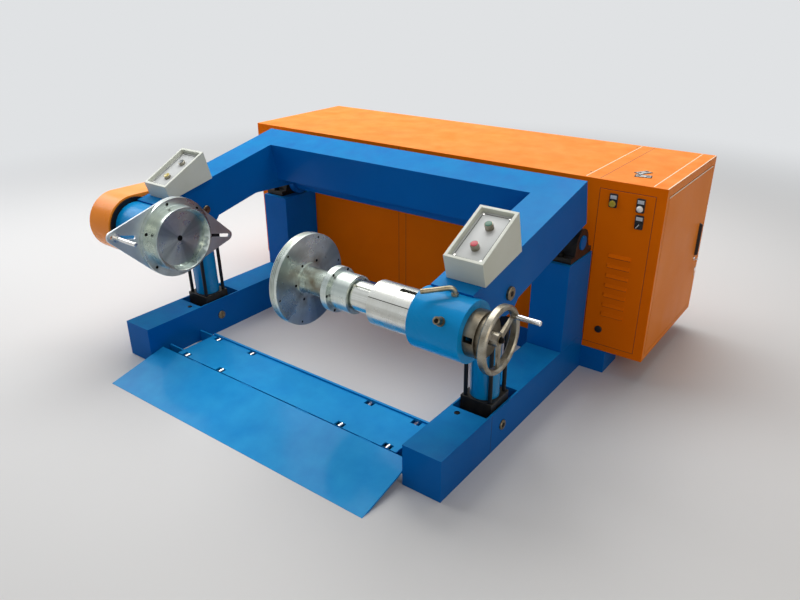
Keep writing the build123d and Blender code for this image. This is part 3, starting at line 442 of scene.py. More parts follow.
def roundEdges(piece, width):
    if width > 0:
        bevel = piece.modifiers.new("edges", "BEVEL")
        bevel.width = width
        bevel.segments = edgeSet["segments"]
        bevel.limit_method = "ANGLE"
        bevel.angle_limit = radians(edgeSet["sharp"])
        bevel.use_clamp_overlap = True
        bevel.miter_outer = "MITER_ARC"
        applyModifiers(piece)
    smooth(piece)
    level = piece.modifiers.new("level", "WEIGHTED_NORMAL")
    level.keep_sharp = True
    applyModifiers(piece)


def finish(piece, body, material, stands=()):
    piece.data.materials.clear()
    piece.data.materials.append(material)
    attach(piece, body)
    if stands:
        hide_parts(*stands)
    return piece


def primitive(kind, name, **settings):
    deselectAll()
    getattr(bpy.ops.mesh, f"primitive_{kind}_add")(**settings)
    piece = bpy.context.object
    piece.name = name
    bpy.ops.object.transform_apply(location=True, rotation=True, scale=True)
    return piece


def bar(name, sides, radius, length, centre=(0, 0, 0)):
    return primitive("cylinder", name, vertices=sides, radius=radius, depth=length, location=centre)


def pick(piece, test, kind="FACE"):
    workOn(piece)
    mesh = piece.data
    bpy.context.tool_settings.mesh_select_mode = (False, kind == "EDGE", kind == "FACE")
    for parts in (mesh.vertices, mesh.edges, mesh.polygons):
        parts.foreach_set("select", [False] * len(parts))
    if kind == "FACE":
        for face in mesh.polygons:
            face.select = test(face.center, face.normal)
    else:
        for edge in mesh.edges:
            start, end = (mesh.vertices[corner].co for corner in edge.vertices)
            edge.select = test((start + end) / 2, (end - start).normalized())
    bpy.ops.object.mode_set(mode="EDIT")


def bevelEdges(piece, test, offset, segments=2):
    pick(piece, test, "EDGE")
    bpy.ops.mesh.bevel(offset=offset, segments=segments, affect="EDGES")
    leave()


# Sinks the top face inside a rim
def dishTop(piece, rim, depth):
    pick(piece, lambda at, way: way.z > 0.9)
    bpy.ops.mesh.inset(thickness=rim, depth=0)
    bpy.ops.mesh.extrude_region_move(TRANSFORM_OT_translate={"value": (0, 0, -depth)})
    leave()


# Draws edges in towards the spindle axis, or out from it
def drawIn(piece, test, factor):
    pick(piece, test, "EDGE")
    bpy.ops.transform.resize(value=(1, factor, factor), center_override=(0, spindleY, spindleZ))
    leave()


def combine(piece, other, operation):
    modifier = piece.modifiers.new("combine", "BOOLEAN")
    modifier.object = other
    modifier.operation = operation
    modifier.solver = "EXACT"
    applyModifiers(piece)
    bpy.data.objects.remove(other)
    return piece


def stand(place, outward, along=(1, 0, 0)):
    up = Vector(outward).normalized()
    side = (Vector(along) - up * up.dot(Vector(along))).normalized()
    return Matrix.Translation(place) @ Matrix((side, up.cross(side), up)).transposed().to_4x4()


def facingX(place, way=1):
    return stand(place, (way, 0, 0), (0, 1, 0))


def shift(x, y, z):
    return Matrix.Translation(mm(x, y, z))


def setDown(piece, matrix):
    workOn(piece)
    piece.matrix_world = matrix
    bpy.ops.object.transform_apply(location=True, rotation=True, scale=True)
    return piece


def placeCopies(master, name, places):
    copies = []
    for matrix in places:
        twin = master.copy()
        twin.data = master.data.copy()
        toScene(twin)
        twin.matrix_world = matrix
        copies.append(twin)
    bpy.data.objects.remove(master)
    workOn(copies[0], *copies[1:])
    bpy.ops.object.transform_apply(location=True, rotation=True, scale=True)
    bpy.ops.object.join()
    copies[0].name = name
    return copies[0]


# Round bar with a bevelled top edge, standing on the origin
def disc(name, radius, height, bevel=0.0, sides=32):
    piece = bar(name, sides, radius, height, (0, 0, height / 2))
    if bevel:
        bevelEdges(piece, lambda at, way: at.z > height * 0.99 and abs(way.z) < 0.1, bevel)
    return smooth(piece)


def block(name, size, bevel=0.0, centre=(0, 0, 0)):
    piece = primitive("cube", name, size=1, scale=size, location=centre)
    if bevel:
        bevelEdges(piece, lambda at, way: True, bevel)
    return smooth(piece)


def socketHead(name, radius, height, recess=0.0):
    head = disc(name, radius, height, radius * 0.12, 24)
    key = bar("key", 6, radius * 0.58, height, (0, 0, height * 1.5 - (recess or height * 0.55)))
    return smooth(combine(head, key, "DIFFERENCE"))


# Flat frame of thin line round a width by length field, its corners cut in by notch
def frameLine(name, width, length, line, proud, notch=0.0):
    ring = primitive("plane", name, size=1)
    pick(ring, lambda at, way: True)
    bpy.ops.transform.resize(value=(width, length, 1))
    if notch:
        bpy.ops.mesh.bevel(offset=notch, segments=5, profile=0.25, affect="VERTICES")
        bpy.ops.mesh.select_all(action="SELECT")
    bpy.ops.mesh.inset(thickness=line, depth=0)
    bpy.ops.mesh.delete(type="FACE")
    bpy.ops.mesh.select_all(action="SELECT")
    bpy.ops.mesh.extrude_region_move(TRANSFORM_OT_translate={"value": (0, 0, proud)})
    bpy.ops.mesh.select_all(action="SELECT")
    bpy.ops.mesh.normals_make_consistent(inside=False)
    leave()
    return ring


# Nut on its washer with the stud's end standing out
def studNut(name, across, thickness):
    nut = bar(name, 6, across / sqrt(3), thickness, (0, 0, thickness / 2 + across * 0.1))
    bevelEdges(nut, lambda at, way: at.z > thickness and abs(way.z) < 0.1, thickness * 0.12, 1)
    washer = disc("washer", across * 0.72, across * 0.12, across * 0.03, 24)
    stud = disc("stud", across * 0.33, thickness * 1.5, across * 0.06, 16)
    workOn(nut, washer, stud)
    bpy.ops.object.join()
    return smooth(nut, 25)


# Pieces that keep a CAD node's form: node, finish, edge radius in mm, and the piece's name and slot where
# these differ from the node's name and the finish's slot
dressed = [
    ("left_side_beam", bluePaint, 2.0, "leftBeam"),
    ("right_side_beam", bluePaint, 1.4, "rightBeam"),
    ("posts", bluePaint, 2.0, "postPair"),
    ("cross_beams", bluePaint, 2.0, "standCrossBeams"),
    ("stand_rails", bluePaint, 2.0),
    ("pillow_blocks", castPaint, 2.0, "pillowBlockPair"),
    ("base_pins", pinSteel, 1.0),
    ("platform", leafPaint, 0.6, "rampPlatform"),
    ("hinge_pins", chromeSteel, 0.3, "rampHingePins"),
    ("rollers", chromeSteel, 0.8, "rampRollers"),
    ("ramp_leaf", leafPaint, 0.0),
    ("pivot_tube", bluePaint, 1.0),
    ("pivot_lugs", bluePaint, 1.5),
    ("lift_pins", pinSteel, 0.8),
    ("tail_barrel", litBarrelPaint, 2.0),
    ("drive_barrel", litBarrelPaint, 2.0),
    ("belt_guard", litGuardPaint, 2.0),
    ("guard_ring", blackPaint, 1.0),
    ("left_cylinder_cap", castPaint, 1.5, "leftCylinderFoot"),
    ("right_cylinder_cap", castPaint, 1.5, "rightCylinderFoot"),
    ("left_cylinder_tube", tubePaint, 0.6),
    ("right_cylinder_tube", tubePaint, 0.6),
    ("left_cylinder_head", blackPaint, 1.5),
    ("right_cylinder_head", blackPaint, 1.5),
    ("left_piston_rod", chromeSteel, 0.8),
    ("right_piston_rod", chromeSteel, 0.8),
    ("drive_spindle", sleeveSteel, 0.8),
    ("drive_plate", plateSteel, 1.2),
    ("driver_pin", chromeSteel, 1.0),
    ("bearing_housing", faceSteel, 1.0),
    ("sleeve", sleeveSteel, 1.2, "quillSleeve"),
    ("lantern", lanternSteel, 1.2, "lanternHousing"),
    ("lock_screw", pinSteel, 0.8, "lockScrew", "black_metal"),
    ("clamp_lever", leverSteel, 0.5),
    ("left_control_box", greyPaint, 1.5),
    ("right_control_box", greyPaint, 1.5),
    ("drive_housing", orangePaint, 2.0),
    ("switch_room_floor", orangePaint, 1.0),
    ("switch_room_roof", orangePaint, 1.5),
    ("switch_room_front", orangePaint, 1.5),
    ("switch_room_back", orangePaint, 1.5),
    ("side_frame", litSidePaint, 1.5),
    ("cabinet_door", litSidePaint, 1.5),
    ("door_hinges", blackOxide, 0.8),
]


# Rounds the edges of a node's copy, which then stands for the node
def dress(piece, node, material, edge, slot=None):
    roundEdges(piece, mm(edge))
    finish(piece, bodyOf[node], material, [node])


def camelCase(node):
    first, *others = node.split("_")
    return first + "".join(word.capitalize() for word in others)


for node, material, edge, *own in dressed:
    dress(mergedCopy(node, own[0] if own else camelCase(node)), node, material, edge, *own[1:])

# The right beam's rounded corners are levelled where they dip below the floor
rightBeam = bpy.data.objects["rightBeam"]
pick(rightBeam, lambda at, way: at.z < -mm(0.01), "EDGE")
bpy.ops.transform.resize(value=(1, 1, 0), center_override=(0, 0, 0))
leave()
print("nodes dressed:", len(dressed))


def fromAxis(place):
    return sqrt((place.y - spindleY) ** 2 + (place.z - spindleZ) ** 2)


# Swing frame: two arms welded to the rear beam, dressed as one piece so that the mitres don't show,
# its edges rounded except where the arms are welded to the barrels
frameSet = {"round": 2, "clear": 2}
swingFrame = mergedCopy("rear_beam", "swingFrame")
for armNode in ("left_arm", "right_arm"):
    combine(swingFrame, mergedCopy(armNode, "arm"), "UNION")
mergeFaces(swingFrame, mm(0.05), 0.4)
barrelTop = max(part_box(node)[1].z for node in ("tail_barrel", "drive_barrel"))
weldRadius = barrelTop - spindleZ + mm(frameSet["clear"])
bpy.context.tool_settings.mesh_select_mode = (False, True, False)
editMesh(swingFrame, "DESELECT")
bpy.ops.mesh.edges_select_sharp(sharpness=radians(edgeSet["sharp"]))
leave()
isSharp = iter([edge.select for edge in swingFrame.data.edges])
pick(swingFrame, lambda at, way: next(isSharp) and fromAxis(at) > weldRadius, "EDGE")
bpy.ops.mesh.bevel(offset=mm(frameSet["round"]), segments=edgeSet["segments"], affect="EDGES",
    clamp_overlap=True)
leave()
roundEdges(swingFrame, 0)
finish(swingFrame, "swing_frame", bluePaint, stands=["rear_beam", "left_arm", "right_arm"])
print("swing frame welded")


# Control boxes: printed sheet in the recess, four plated screws, two push buttons with coloured caps
boxSet = {
    "slope": 14.59, "armTop": 103, "rise": 120.5, "middle": 212, "recess": 18, "opening": (124, 226),
    "centres": {"left": (-772, 20, 12, ("yellow", "dark")), "right": (812, 0, 21, ("red", "green"))},
    "sheet": 1.5, "line": (106, 206), "lineWidth": 2.4, "notch": 9, "screws": (49, 99),
    "screw": (4.2, 2.6), "driver": (1.4, 12, 2), "buttons": (-52, 44), "shift": 3, "bezel": 15, "dish": 3,
    "cap": (12.5, 3.5), "capSunk": 2, "lineProud": 0.4, "play": 0.1}
capFinish = {"yellow": yellowPlastic, "dark": darkPlastic, "red": redPlastic, "green": greenPlastic}
deskTilt = armSlope + radians(boxSet["slope"])
deskOut = Vector((0, -sin(deskTilt), cos(deskTilt)))
boxParts = {"sheets": [], "lines": [], "screws": [], "bezels": []}
for side, (centre, drop, tall, caps) in boxSet["centres"].items():
    middle = onArm(mm(centre), mm(boxSet["middle"]), mm(boxSet["armTop"] + boxSet["rise"] - drop))
    deskFloor = stand(middle - deskOut * mm(boxSet["recess"] - boxSet["play"]), deskOut)
    sheetTop = deskFloor @ shift(0, 0, boxSet["sheet"])
    width, length = (mm(size - 1) for size in boxSet["opening"])
    sheet = block("faceSheet", (width, length, mm(boxSet["sheet"])), mm(0.3), (0, 0, mm(boxSet["sheet"] / 2)))
    boxParts["sheets"].append(setDown(sheet, deskFloor))
    outline = frameLine("outline", *mm(*boxSet["line"]), mm(boxSet["lineWidth"]), mm(boxSet["lineProud"]),
        mm(boxSet["notch"]))
    boxParts["lines"].append(setDown(outline, sheetTop))
    screw = disc("plateScrew", *mm(*boxSet["screw"]), mm(1), 20)
    slot = block("driverSlot", mm(*boxSet["driver"]), 0, (0, 0, mm(boxSet["screw"][1])))
    combine(screw, slot, "DIFFERENCE")
    spots = [sheetTop @ shift(x, y, 0) @ spin(x + y) for x in (-boxSet["screws"][0], boxSet["screws"][0])
        for y in (-boxSet["screws"][1], boxSet["screws"][1])]
    boxParts["screws"].append(placeCopies(smooth(screw), "plateScrews", spots))
    bezel = disc("bezel", mm(boxSet["bezel"]), mm(tall), mm(1.6), 32)
    dishTop(bezel, mm(boxSet["bezel"] - boxSet["cap"][0] - 1), mm(boxSet["dish"]))
    spots = [sheetTop @ shift(boxSet["shift"], y, 0) for y in boxSet["buttons"]]
    boxParts["bezels"].append(placeCopies(smooth(bezel), "bezels", spots))
    for colour, spot in zip(caps, spots):
        cap = disc("cap", *mm(*boxSet["cap"]), mm(1.2), 32)
        setDown(cap, spot @ shift(0, 0, tall - boxSet["capSunk"]))
        cap.name = f"{side}ButtonCap{colour.capitalize()}"
        finish(cap, "swing_frame", capFinish[colour])


def joined(pieces, name):
    workOn(*pieces)
    bpy.ops.object.join()
    pieces[0].name = name
    return pieces[0]


finish(joined(boxParts["sheets"], "controlFaceSheets"), "swing_frame", faceSheet)
finish(joined(boxParts["lines"], "controlFaceOutlines"), "swing_frame", seamBlack)
finish(joined(boxParts["screws"], "controlFaceScrews"), "swing_frame", chromeSteel)
finish(joined(boxParts["bezels"], "buttonBezels"), "swing_frame", castSteel, stands=["push_buttons"])
print("control boxes fitted")


# Cabinet front at the switch panel: a painted shade line for the seam round the panel, louvres with painted
# shade in their openings, grommet, switches with label holders
panelLow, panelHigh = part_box("switch_panel")
panelFace = panelLow.y
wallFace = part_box("switch_room_front")[0].y
outward = Vector((0, -1, 0))
panelSet = {"seam": 2.4, "seamProud": 0.8, "taller": 14, "louvre": (101, 15, 7),
    "louvres": (987, 284, 554, 7), "lip": 2.2, "back": 0.92, "ends": 5, "mouth": (93, 3.5, 1),
    "mouthAt": (-9, 0.3), "grommet": (938, 206, 16, 5), "grommetDish": (3.5, 3),
    "switches": {"yellow": (-53, 301), "lamp": (59, 299), "rotary": (62, 231)}, "holder": (34, 58, 4),
    "holderRise": 12, "blank": (26, 15, 1), "blankRise": 27, "holderCorner": 5, "holderDish": (1, 0.8),
    "blankProud": 5, "collar": (15.5, 5), "collarDish": (1.5, 2), "collarProud": 4.5, "cap": (13.5, 9),
    "capProud": 5, "domeProud": 7, "domeFlat": 0.75, "knob": 6, "grip": (8, 14, 9), "turn": -35,
    "pointer": (2, 0.8, 1, 16.2)}


def onPanel(x, z, proud=0.0):
    return stand((x, panelFace - proud, z), outward)


seam = mm(panelSet["seam"])
panelHigh = panelHigh + Vector((0, 0, mm(panelSet["taller"])))
panelMiddle = (panelLow + panelHigh) / 2
panelPlate = block("switchPanel", (panelHigh.x - panelLow.x, panelHigh.z - panelLow.z, wallFace - panelFace),
    0, (0, 0, (wallFace - panelFace) / 2))
bevelEdges(panelPlate, lambda at, way: abs(way.z) < 0.1 and at.z > 0, mm(0.8))
setDown(smooth(panelPlate), stand((panelMiddle.x, wallFace, panelMiddle.z), outward))
finish(panelPlate, "base", orangePaint, stands=["switch_panel"])
# dark line painted as the shade in the seam round the panel
panelSeam = frameLine("switchPanelSeamShade", panelHigh.x - panelLow.x + 2 * seam,
    panelHigh.z - panelLow.z + 2 * seam, seam, mm(panelSet["seamProud"]))
setDown(panelSeam, stand((panelMiddle.x, wallFace, panelMiddle.z), outward))
finish(panelSeam, "base", seamShadeOrange)

# Louvre pressed out of the sheet: its lower lip stands out and the rest runs back into the panel
width, height, proud = mm(*panelSet["louvre"])
louvre = block("louvre", (width, height, proud), 0, (0, 0, proud / 2))
pick(louvre, lambda at, way: at.z > proud * 0.9 and at.y > height * 0.4, "EDGE")
bpy.ops.transform.translate(value=(0, 0, -proud * panelSet["back"]))
bpy.ops.mesh.select_all(action="DESELECT")
leave()
bevelEdges(louvre, lambda at, way: at.z > proud * 0.9 and abs(at.x) < mm(1), mm(panelSet["lip"]), 3)
for side in (-1, 1):
    pick(louvre, lambda at, way: side * at.x > width * 0.49 and at.z > mm(1), "EDGE")
    bpy.ops.transform.translate(value=(-side * mm(panelSet["ends"]), 0, 0))
    leave()
smooth(louvre, 50)
x, lowest, highest, count = panelSet["louvres"]
pitch = (highest - lowest) / (count - 1)
louvreSpots = [onPanel(mm(x), mm(lowest + pitch * number)) for number in range(count)]
# dark strips painted as the shade in the louvres' openings
mouth = block("mouth", mm(*panelSet["mouth"]), 0, (0, *mm(*panelSet["mouthAt"])))
finish(placeCopies(louvre, "panelLouvres", louvreSpots), "base", orangePaint)
finish(placeCopies(mouth, "louvreMouthShade", louvreSpots), "base", seamShadeOrange)

x, z, radius, depth = panelSet["grommet"]
grommet = disc("cableGrommet", mm(radius), mm(depth), mm(1.5), 32)
dishTop(grommet, *mm(*panelSet["grommetDish"]))
finish(setDown(smooth(grommet), onPanel(mm(x), mm(z))), "base", blackPlastic)

switchSpots = {kind: (panelMiddle.x + mm(x), panelMiddle.z + mm(z - panelSet["taller"] / 2))
    for kind, (x, z) in panelSet["switches"].items()}


def atSwitches(rise=0, proud=0):
    return [onPanel(x, z + mm(rise), mm(proud)) for x, z in switchSpots.values()]


holder = block("holder", mm(*panelSet["holder"]), 0, (0, 0, mm(panelSet["holder"][2] / 2)))
bevelEdges(holder, lambda at, way: abs(way.z) > 0.9, mm(panelSet["holderCorner"]), 4)
pick(holder, lambda at, way: way.z > 0.9)
holderRim, holderSunk = mm(*panelSet["holderDish"])
bpy.ops.mesh.inset(thickness=holderRim, depth=holderSunk)
leave()
finish(placeCopies(smooth(holder), "labelHolders", atSwitches(panelSet["holderRise"])), "base", blackPlastic)
blank = block("blank", mm(*panelSet["blank"]), mm(0.3))
blanks = placeCopies(blank, "labelBlanks", atSwitches(panelSet["blankRise"], panelSet["blankProud"]))
finish(blanks, "base", labelPlastic)
collar = disc("collar", *mm(*panelSet["collar"]), mm(1), 32)
dishTop(collar, *mm(*panelSet["collarDish"]))
collars = placeCopies(smooth(collar), "switchCollars", atSwitches(0, panelSet["collarProud"]))
finish(collars, "base", blackPlastic, stands=["panel_switches"])

capRadius, capHeight = mm(*panelSet["cap"])
capProud = mm(panelSet["capProud"])
x, z = switchSpots["yellow"]
button = disc("panelButton", capRadius, capHeight, mm(1.5), 32)
finish(setDown(button, onPanel(x, z, capProud)), "base", yellowPlastic)
x, z = switchSpots["lamp"]
dome = primitive("uv_sphere", "panelLamp", segments=32, ring_count=16, radius=capRadius)
editMesh(dome)
bpy.ops.mesh.bisect(plane_co=(0, 0, 0), plane_no=(0, 0, 1), clear_inner=True, use_fill=True)
bpy.ops.mesh.select_all(action="SELECT")
bpy.ops.transform.resize(value=(1, 1, panelSet["domeFlat"]))
leave()
finish(setDown(smooth(dome, 60), onPanel(x, z, mm(panelSet["domeProud"]))), "base", lampPlastic)
x, z = switchSpots["rotary"]
knob = disc("panelSelector", capRadius, mm(panelSet["knob"]), mm(1), 32)
gripWidth, gripHeight, gripMiddle = mm(*panelSet["grip"])
grip = block("grip", (gripWidth, capRadius * 2.1, gripHeight), mm(1.5), (0, 0, gripMiddle))
combine(knob, grip, "UNION")
turned = onPanel(x, z, capProud) @ spin(panelSet["turn"])
finish(setDown(smooth(knob), turned), "base", blackPlastic)
width, height, *middle = mm(*panelSet["pointer"])
pointer = block("selectorPointer", (width, capRadius * 1.6, height), mm(0.2), (0, *middle))
finish(setDown(pointer, turned), "base", lampPlastic)
print("switch panel fitted")


# Cabinet sheets: painted shade lines for the seams on the front, painted highlights on the roof laps and
# edges, a painted shade line in a roof gap, catch on the roof, lock and keys on the door
cabinetLow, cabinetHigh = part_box("drive_housing")
roofLow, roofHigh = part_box("switch_room_roof")
doorLow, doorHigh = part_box("cabinet_door")
handleLow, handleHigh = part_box("door_handle")
roofZ = roofHigh.z
cabinetSet = {
    "frontSeams": (-153, -109), "seam": (2.2, 1.5, 0.3, 6), "lapBright": (801, 1080), "lapDark": (862,),
    "lap": (4, 12, 1, 0.05), "edge": (5, 3, 0.3, 0.1)}


def flushStrip(name, low, high, bevel=0.0):
    low, high = Vector(low), Vector(high)
    return block(name, tuple(high - low), bevel, tuple((low + high) / 2))


seamWidth, seamDeep, seamProud, seamEnd = mm(*cabinetSet["seam"])
# dark strips painted as the shade in the seams on the front
strips = [flushStrip("seam", (mm(x) - seamWidth / 2, cabinetLow.y - seamProud, cabinetLow.z + seamEnd),
    (mm(x) + seamWidth / 2, cabinetLow.y + seamDeep, cabinetHigh.z - seamEnd))
    for x in cabinetSet["frontSeams"]]
finish(joined(strips, "housingSeams"), "base", seamShadeOrange)
lap, margin, sunk, proud = mm(*cabinetSet["lap"])


def roofStrip(name, x, width):
    return flushStrip(name, (mm(x) - width / 2, cabinetLow.y + margin, roofZ - sunk),
        (mm(x) + width / 2, cabinetHigh.y - margin, roofZ + proud))


# strips painted as highlights on the roof laps, the door's top edge and the roof's edge
highlightStrips = [roofStrip("lap", x, lap) for x in cabinetSet["lapBright"]]
line, lineEnd, doorProud, doorRise = mm(*cabinetSet["edge"])
highlightStrips.append(flushStrip("doorTop", (doorHigh.x - sunk, doorLow.y, doorHigh.z - line),
    (doorHigh.x + doorProud, doorHigh.y, doorHigh.z + doorRise), mm(0.3)))
highlightStrips.append(flushStrip("roofEdge", (roofHigh.x - line, roofLow.y + lineEnd, roofZ - sunk),
    (roofHigh.x + proud, roofHigh.y - lineEnd, roofZ + proud), mm(0.3)))
finish(joined(highlightStrips, "paintedEdgeHighlights"), "base", highlightPaint)
# dark strip painted as the shade in the roof gap
gaps = [roofStrip("gap", x, lap * 0.7) for x in cabinetSet["lapDark"]]
finish(joined(gaps, "roofGap"), "base", seamShadeOrange)


# Roof screws let into the sheet, and the plated catch on its seat
catchSet = {"plates": ((975, 118, 60), (994, 62, 12)), "size": (58, 30, 2.4), "hole": 8.5, "raised": 2.5,
    "screws": ((790, 11), (790, 560)), "screw": (4.5, 2), "screwSunk": 1.8, "seat": (9, 4, -3), "apart": 3.2}
plateSize = mm(*catchSet["size"])
catch = block("catch", plateSize, mm(0.4), (0, 0, -plateSize[2] / 2 + mm(0.4)))
holesAt = (-plateSize[0] / catchSet["apart"], plateSize[0] / catchSet["apart"])
for x in holesAt:
    hole = bar("hole", 20, mm(catchSet["hole"]), mm(6), (x, 0, 0))
    combine(catch, hole, "DIFFERENCE")
spots = [Matrix.Translation((mm(x), mm(y), roofZ + mm(catchSet["raised"]))) @ spin(turn)
    for x, y, turn in catchSet["plates"]]
wider, thick, down = mm(*catchSet["seat"])
under = block("under", (plateSize[0] + wider, plateSize[1] + wider, thick), mm(0.3), (0, 0, down))
finish(placeCopies(under, "catchSeat", spots), "base", blackOxide)
finish(placeCopies(smooth(catch), "roofCatch", spots), "base", chromeSteel)
hole = disc("catchHole", mm(catchSet["hole"] - 0.2), mm(1.5), mm(0.3), 20)
spots = [spot @ Matrix.Translation((x, 0, -mm(1.3))) for spot in spots for x in holesAt]
finish(placeCopies(hole, "catchHoles", spots), "base", blackOxide)
roofScrew = disc("roofScrew", *mm(*catchSet["screw"]), mm(0.5), 20)
spots = [Matrix.Translation((mm(x), mm(y), roofZ - mm(catchSet["screwSunk"]))) for x, y in catchSet["screws"]]
finish(placeCopies(roofScrew, "roofScrews", spots), "base", blackOxide)

# Pull on the door, narrower at its face, with a barrel lock and two keys
handleSet = {"pull": (9.5, 160, 14), "lock": (9, 5), "lockDrop": 96, "key": (24, 11, 2), "bow": (12.5, 3),
    "hang": 50, "inLock": 9, "keyOut": 14, "ringOut": 16, "ring": (13, 0.8), "down": 28,
    "face": (0.7, 0.93, 1), "keyway": (1.8, 8, 6)}
pullMiddle = Vector((doorHigh.x, (handleLow.y + handleHigh.y) / 2,
    (handleLow.z + handleHigh.z) / 2 - mm(handleSet["down"])))
pull = block("doorPull", mm(*handleSet["pull"]), 0, (0, 0, mm(handleSet["pull"][2] / 2)))
pick(pull, lambda at, way: way.z > 0.9)
bpy.ops.transform.resize(value=handleSet["face"])
leave()
bevelEdges(pull, lambda at, way: at.z > mm(1), mm(2), 3)
doorOut = facingX(pullMiddle)
finish(setDown(smooth(pull), doorOut), "cabinet_door", blackPlastic, stands=["door_handle"])
lockFace = doorOut @ shift(0, -handleSet["lockDrop"], 0)
lock = disc("doorLock", *mm(*handleSet["lock"]), mm(1), 32)
keyway = block("keyway", mm(*handleSet["keyway"]), 0, (0, 0, mm(handleSet["lock"][1])))
finish(setDown(smooth(combine(lock, keyway, "DIFFERENCE")), lockFace), "cabinet_door", chromeSteel)
keyLength, keyWidth, keyThick = mm(*handleSet["key"])
bowRadius, boreRadius = mm(*handleSet["bow"])


def keyBlank(name):
    key = bar(name, 24, bowRadius, keyThick)
    blade = block("blade", (keyLength, keyWidth * 0.6, keyThick * 0.99), 0,
        (-bowRadius - keyLength / 2 + mm(2), 0, 0))
    combine(key, blade, "UNION")
    bore = bar("bore", 16, boreRadius, mm(8), (bowRadius * 0.5, 0, 0))
    combine(key, bore, "DIFFERENCE")
    return smooth(key)


inLock = keyBlank("keyInLock")
held = lockFace @ shift(0, 0, handleSet["inLock"]) @ spin(-90, "Y")
setDown(inLock, held @ spin(90, "X"))
hanging = keyBlank("keyOnRing")
setDown(hanging, lockFace @ shift(0, -handleSet["hang"], handleSet["keyOut"]) @ spin(90))
ringRadius, wireRadius = mm(*handleSet["ring"])
ring = primitive("torus", "keyRing", major_radius=ringRadius, minor_radius=wireRadius, major_segments=32,
    minor_segments=8)
ringSpot = lockFace @ shift(0, -handleSet["hang"] / 2 - 3, handleSet["ringOut"])
setDown(smooth(ring, 60), ringSpot @ spin(12, "Y"))
finish(joined([inLock, hanging, ring], "doorKeys"), "cabinet_door", chromeSteel)
print("cabinet fitted")


# Driving flange: the cup's floor is opened out so that its wall is thin, as turned
cupSet = {"floorFrom": (50, 125), "depth": 34, "open": 1.11, "near": 0.5, "heads": (155, 40, 6.4, 7, 8),
    "face": -582, "plug": (0, 0, 12.5, 5, 3.5)}
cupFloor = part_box("drive_flange")[1].x - mm(cupSet["depth"])
inner, outer = mm(*cupSet["floorFrom"])
cup = mergedCopy("drive_flange", "driveFlange")
drawIn(cup, lambda at, way: abs(at.x - cupFloor) < mm(cupSet["near"]) and inner < fromAxis(at) < outer,
    cupSet["open"])
dress(cup, "drive_flange", faceSteel, 1.6)


# Places round the spindle axis on a face at x, each looking along +X
def roundAxis(x, radius, first, count, sunk=0.0):
    turns = [radians(first + 360 / count * number) for number in range(count)]
    return [stand((x - sunk, spindleY + radius * cos(turn), spindleZ + radius * sin(turn)), (1, 0, 0),
        (0, cos(turn), sin(turn))) for turn in turns]


# Socket heads on a circle round the spindle axis, let into the face at x; the lengths after x are in mm
def headCircle(name, x, circle, turn, radius, height, sunk, recess=0, count=6):
    head = socketHead(name, *mm(radius, height, recess))
    return placeCopies(head, name, roundAxis(x, mm(circle), turn, count, mm(sunk)))


finish(headCircle("driveFlangeScrews", mm(cupSet["face"]), *cupSet["heads"]), "drive_spindle", blackOxide)
finish(headCircle("driveCentreScrew", cupFloor, *cupSet["plug"], count=1), "drive_spindle", blackOxide)

# Clamp disc: screws in its rim and round its neck, and three fine rings turned in its rim
discSet = {"face": 194, "heads": ((160, 10, 5.4, 6, 6.5), (75, 59, 5.4, 6, 5.2, 0.6)), "root": (95, 105, 193),
    "drawn": 0.66, "rings": (164, 171, 178), "ring": (1.4, 0.985), "rimDeep": 3}
ringedDisc = mergedCopy("clamp_disc", "clampDisc")
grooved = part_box("clamp_disc")[1].z - spindleZ - mm(discSet["rimDeep"])
half, drawn = mm(discSet["ring"][0]), discSet["ring"][1]
for x in discSet["rings"]:
    for side in (-half, half):
        pick(ringedDisc, lambda at, way: True)
        bpy.ops.mesh.bisect(plane_co=(mm(x) + side, 0, 0), plane_no=(1, 0, 0))
        leave()
    pick(ringedDisc, lambda at, way: abs(at.x - mm(x)) < half and fromAxis(at) > grooved)
    bpy.ops.mesh.extrude_region_move()
    bpy.ops.transform.resize(value=(1, drawn, drawn), center_override=(0, spindleY, spindleZ))
    leave()
rootFrom, rootTo, rootFace = mm(*discSet["root"])
drawIn(ringedDisc, lambda at, way: at.x > rootFace and rootFrom < fromAxis(at) < rootTo, discSet["drawn"])
dress(ringedDisc, "clamp_disc", neckSteel, 0.9)
heads = [headCircle("heads", mm(discSet["face"]), *circle) for circle in discSet["heads"]]
finish(joined(heads, "clampDiscScrews"), "clamp_head", blackOxide)

# Quill: screws on the bearing flange, a keyway cut along the bar, screws on the key
quillSet = {"flange": 344, "heads": (77, 59, 5.5, 5, 4.2, 0.6), "keyway": (426, 520, 120, 10, 7), "bar": 55,
    "key": ((641, 655, 669), 101, 71, 3.8), "keyHead": 2.6}
finish(headCircle("bearingFlangeScrews", mm(quillSet["flange"]), *quillSet["heads"]), "quill", blackOxide)


def aroundAxis(x, turn, radius):
    way = Vector((0, cos(radians(turn)), sin(radians(turn))))
    return stand(Vector((mm(x), spindleY, spindleZ)) + way * mm(radius), way)


start, end, turn, width, deep = quillSet["keyway"]
quillBar = mergedCopy("quill", "quillBar")
keyway = block("keyway", (mm(end - start), mm(width), mm(2 * deep)), 0)
combine(quillBar, setDown(keyway, aroundAxis((start + end) / 2, turn, quillSet["bar"])), "DIFFERENCE")
dress(quillBar, "quill", quillSteel, 0.8)
places, turn, radius, size = quillSet["key"]
keyScrew = socketHead("keyScrew", *mm(size, quillSet["keyHead"]))
finish(placeCopies(keyScrew, "keyScrews", [aroundAxis(x, turn, radius) for x in places]), "swing_frame",
    chromeSteel)

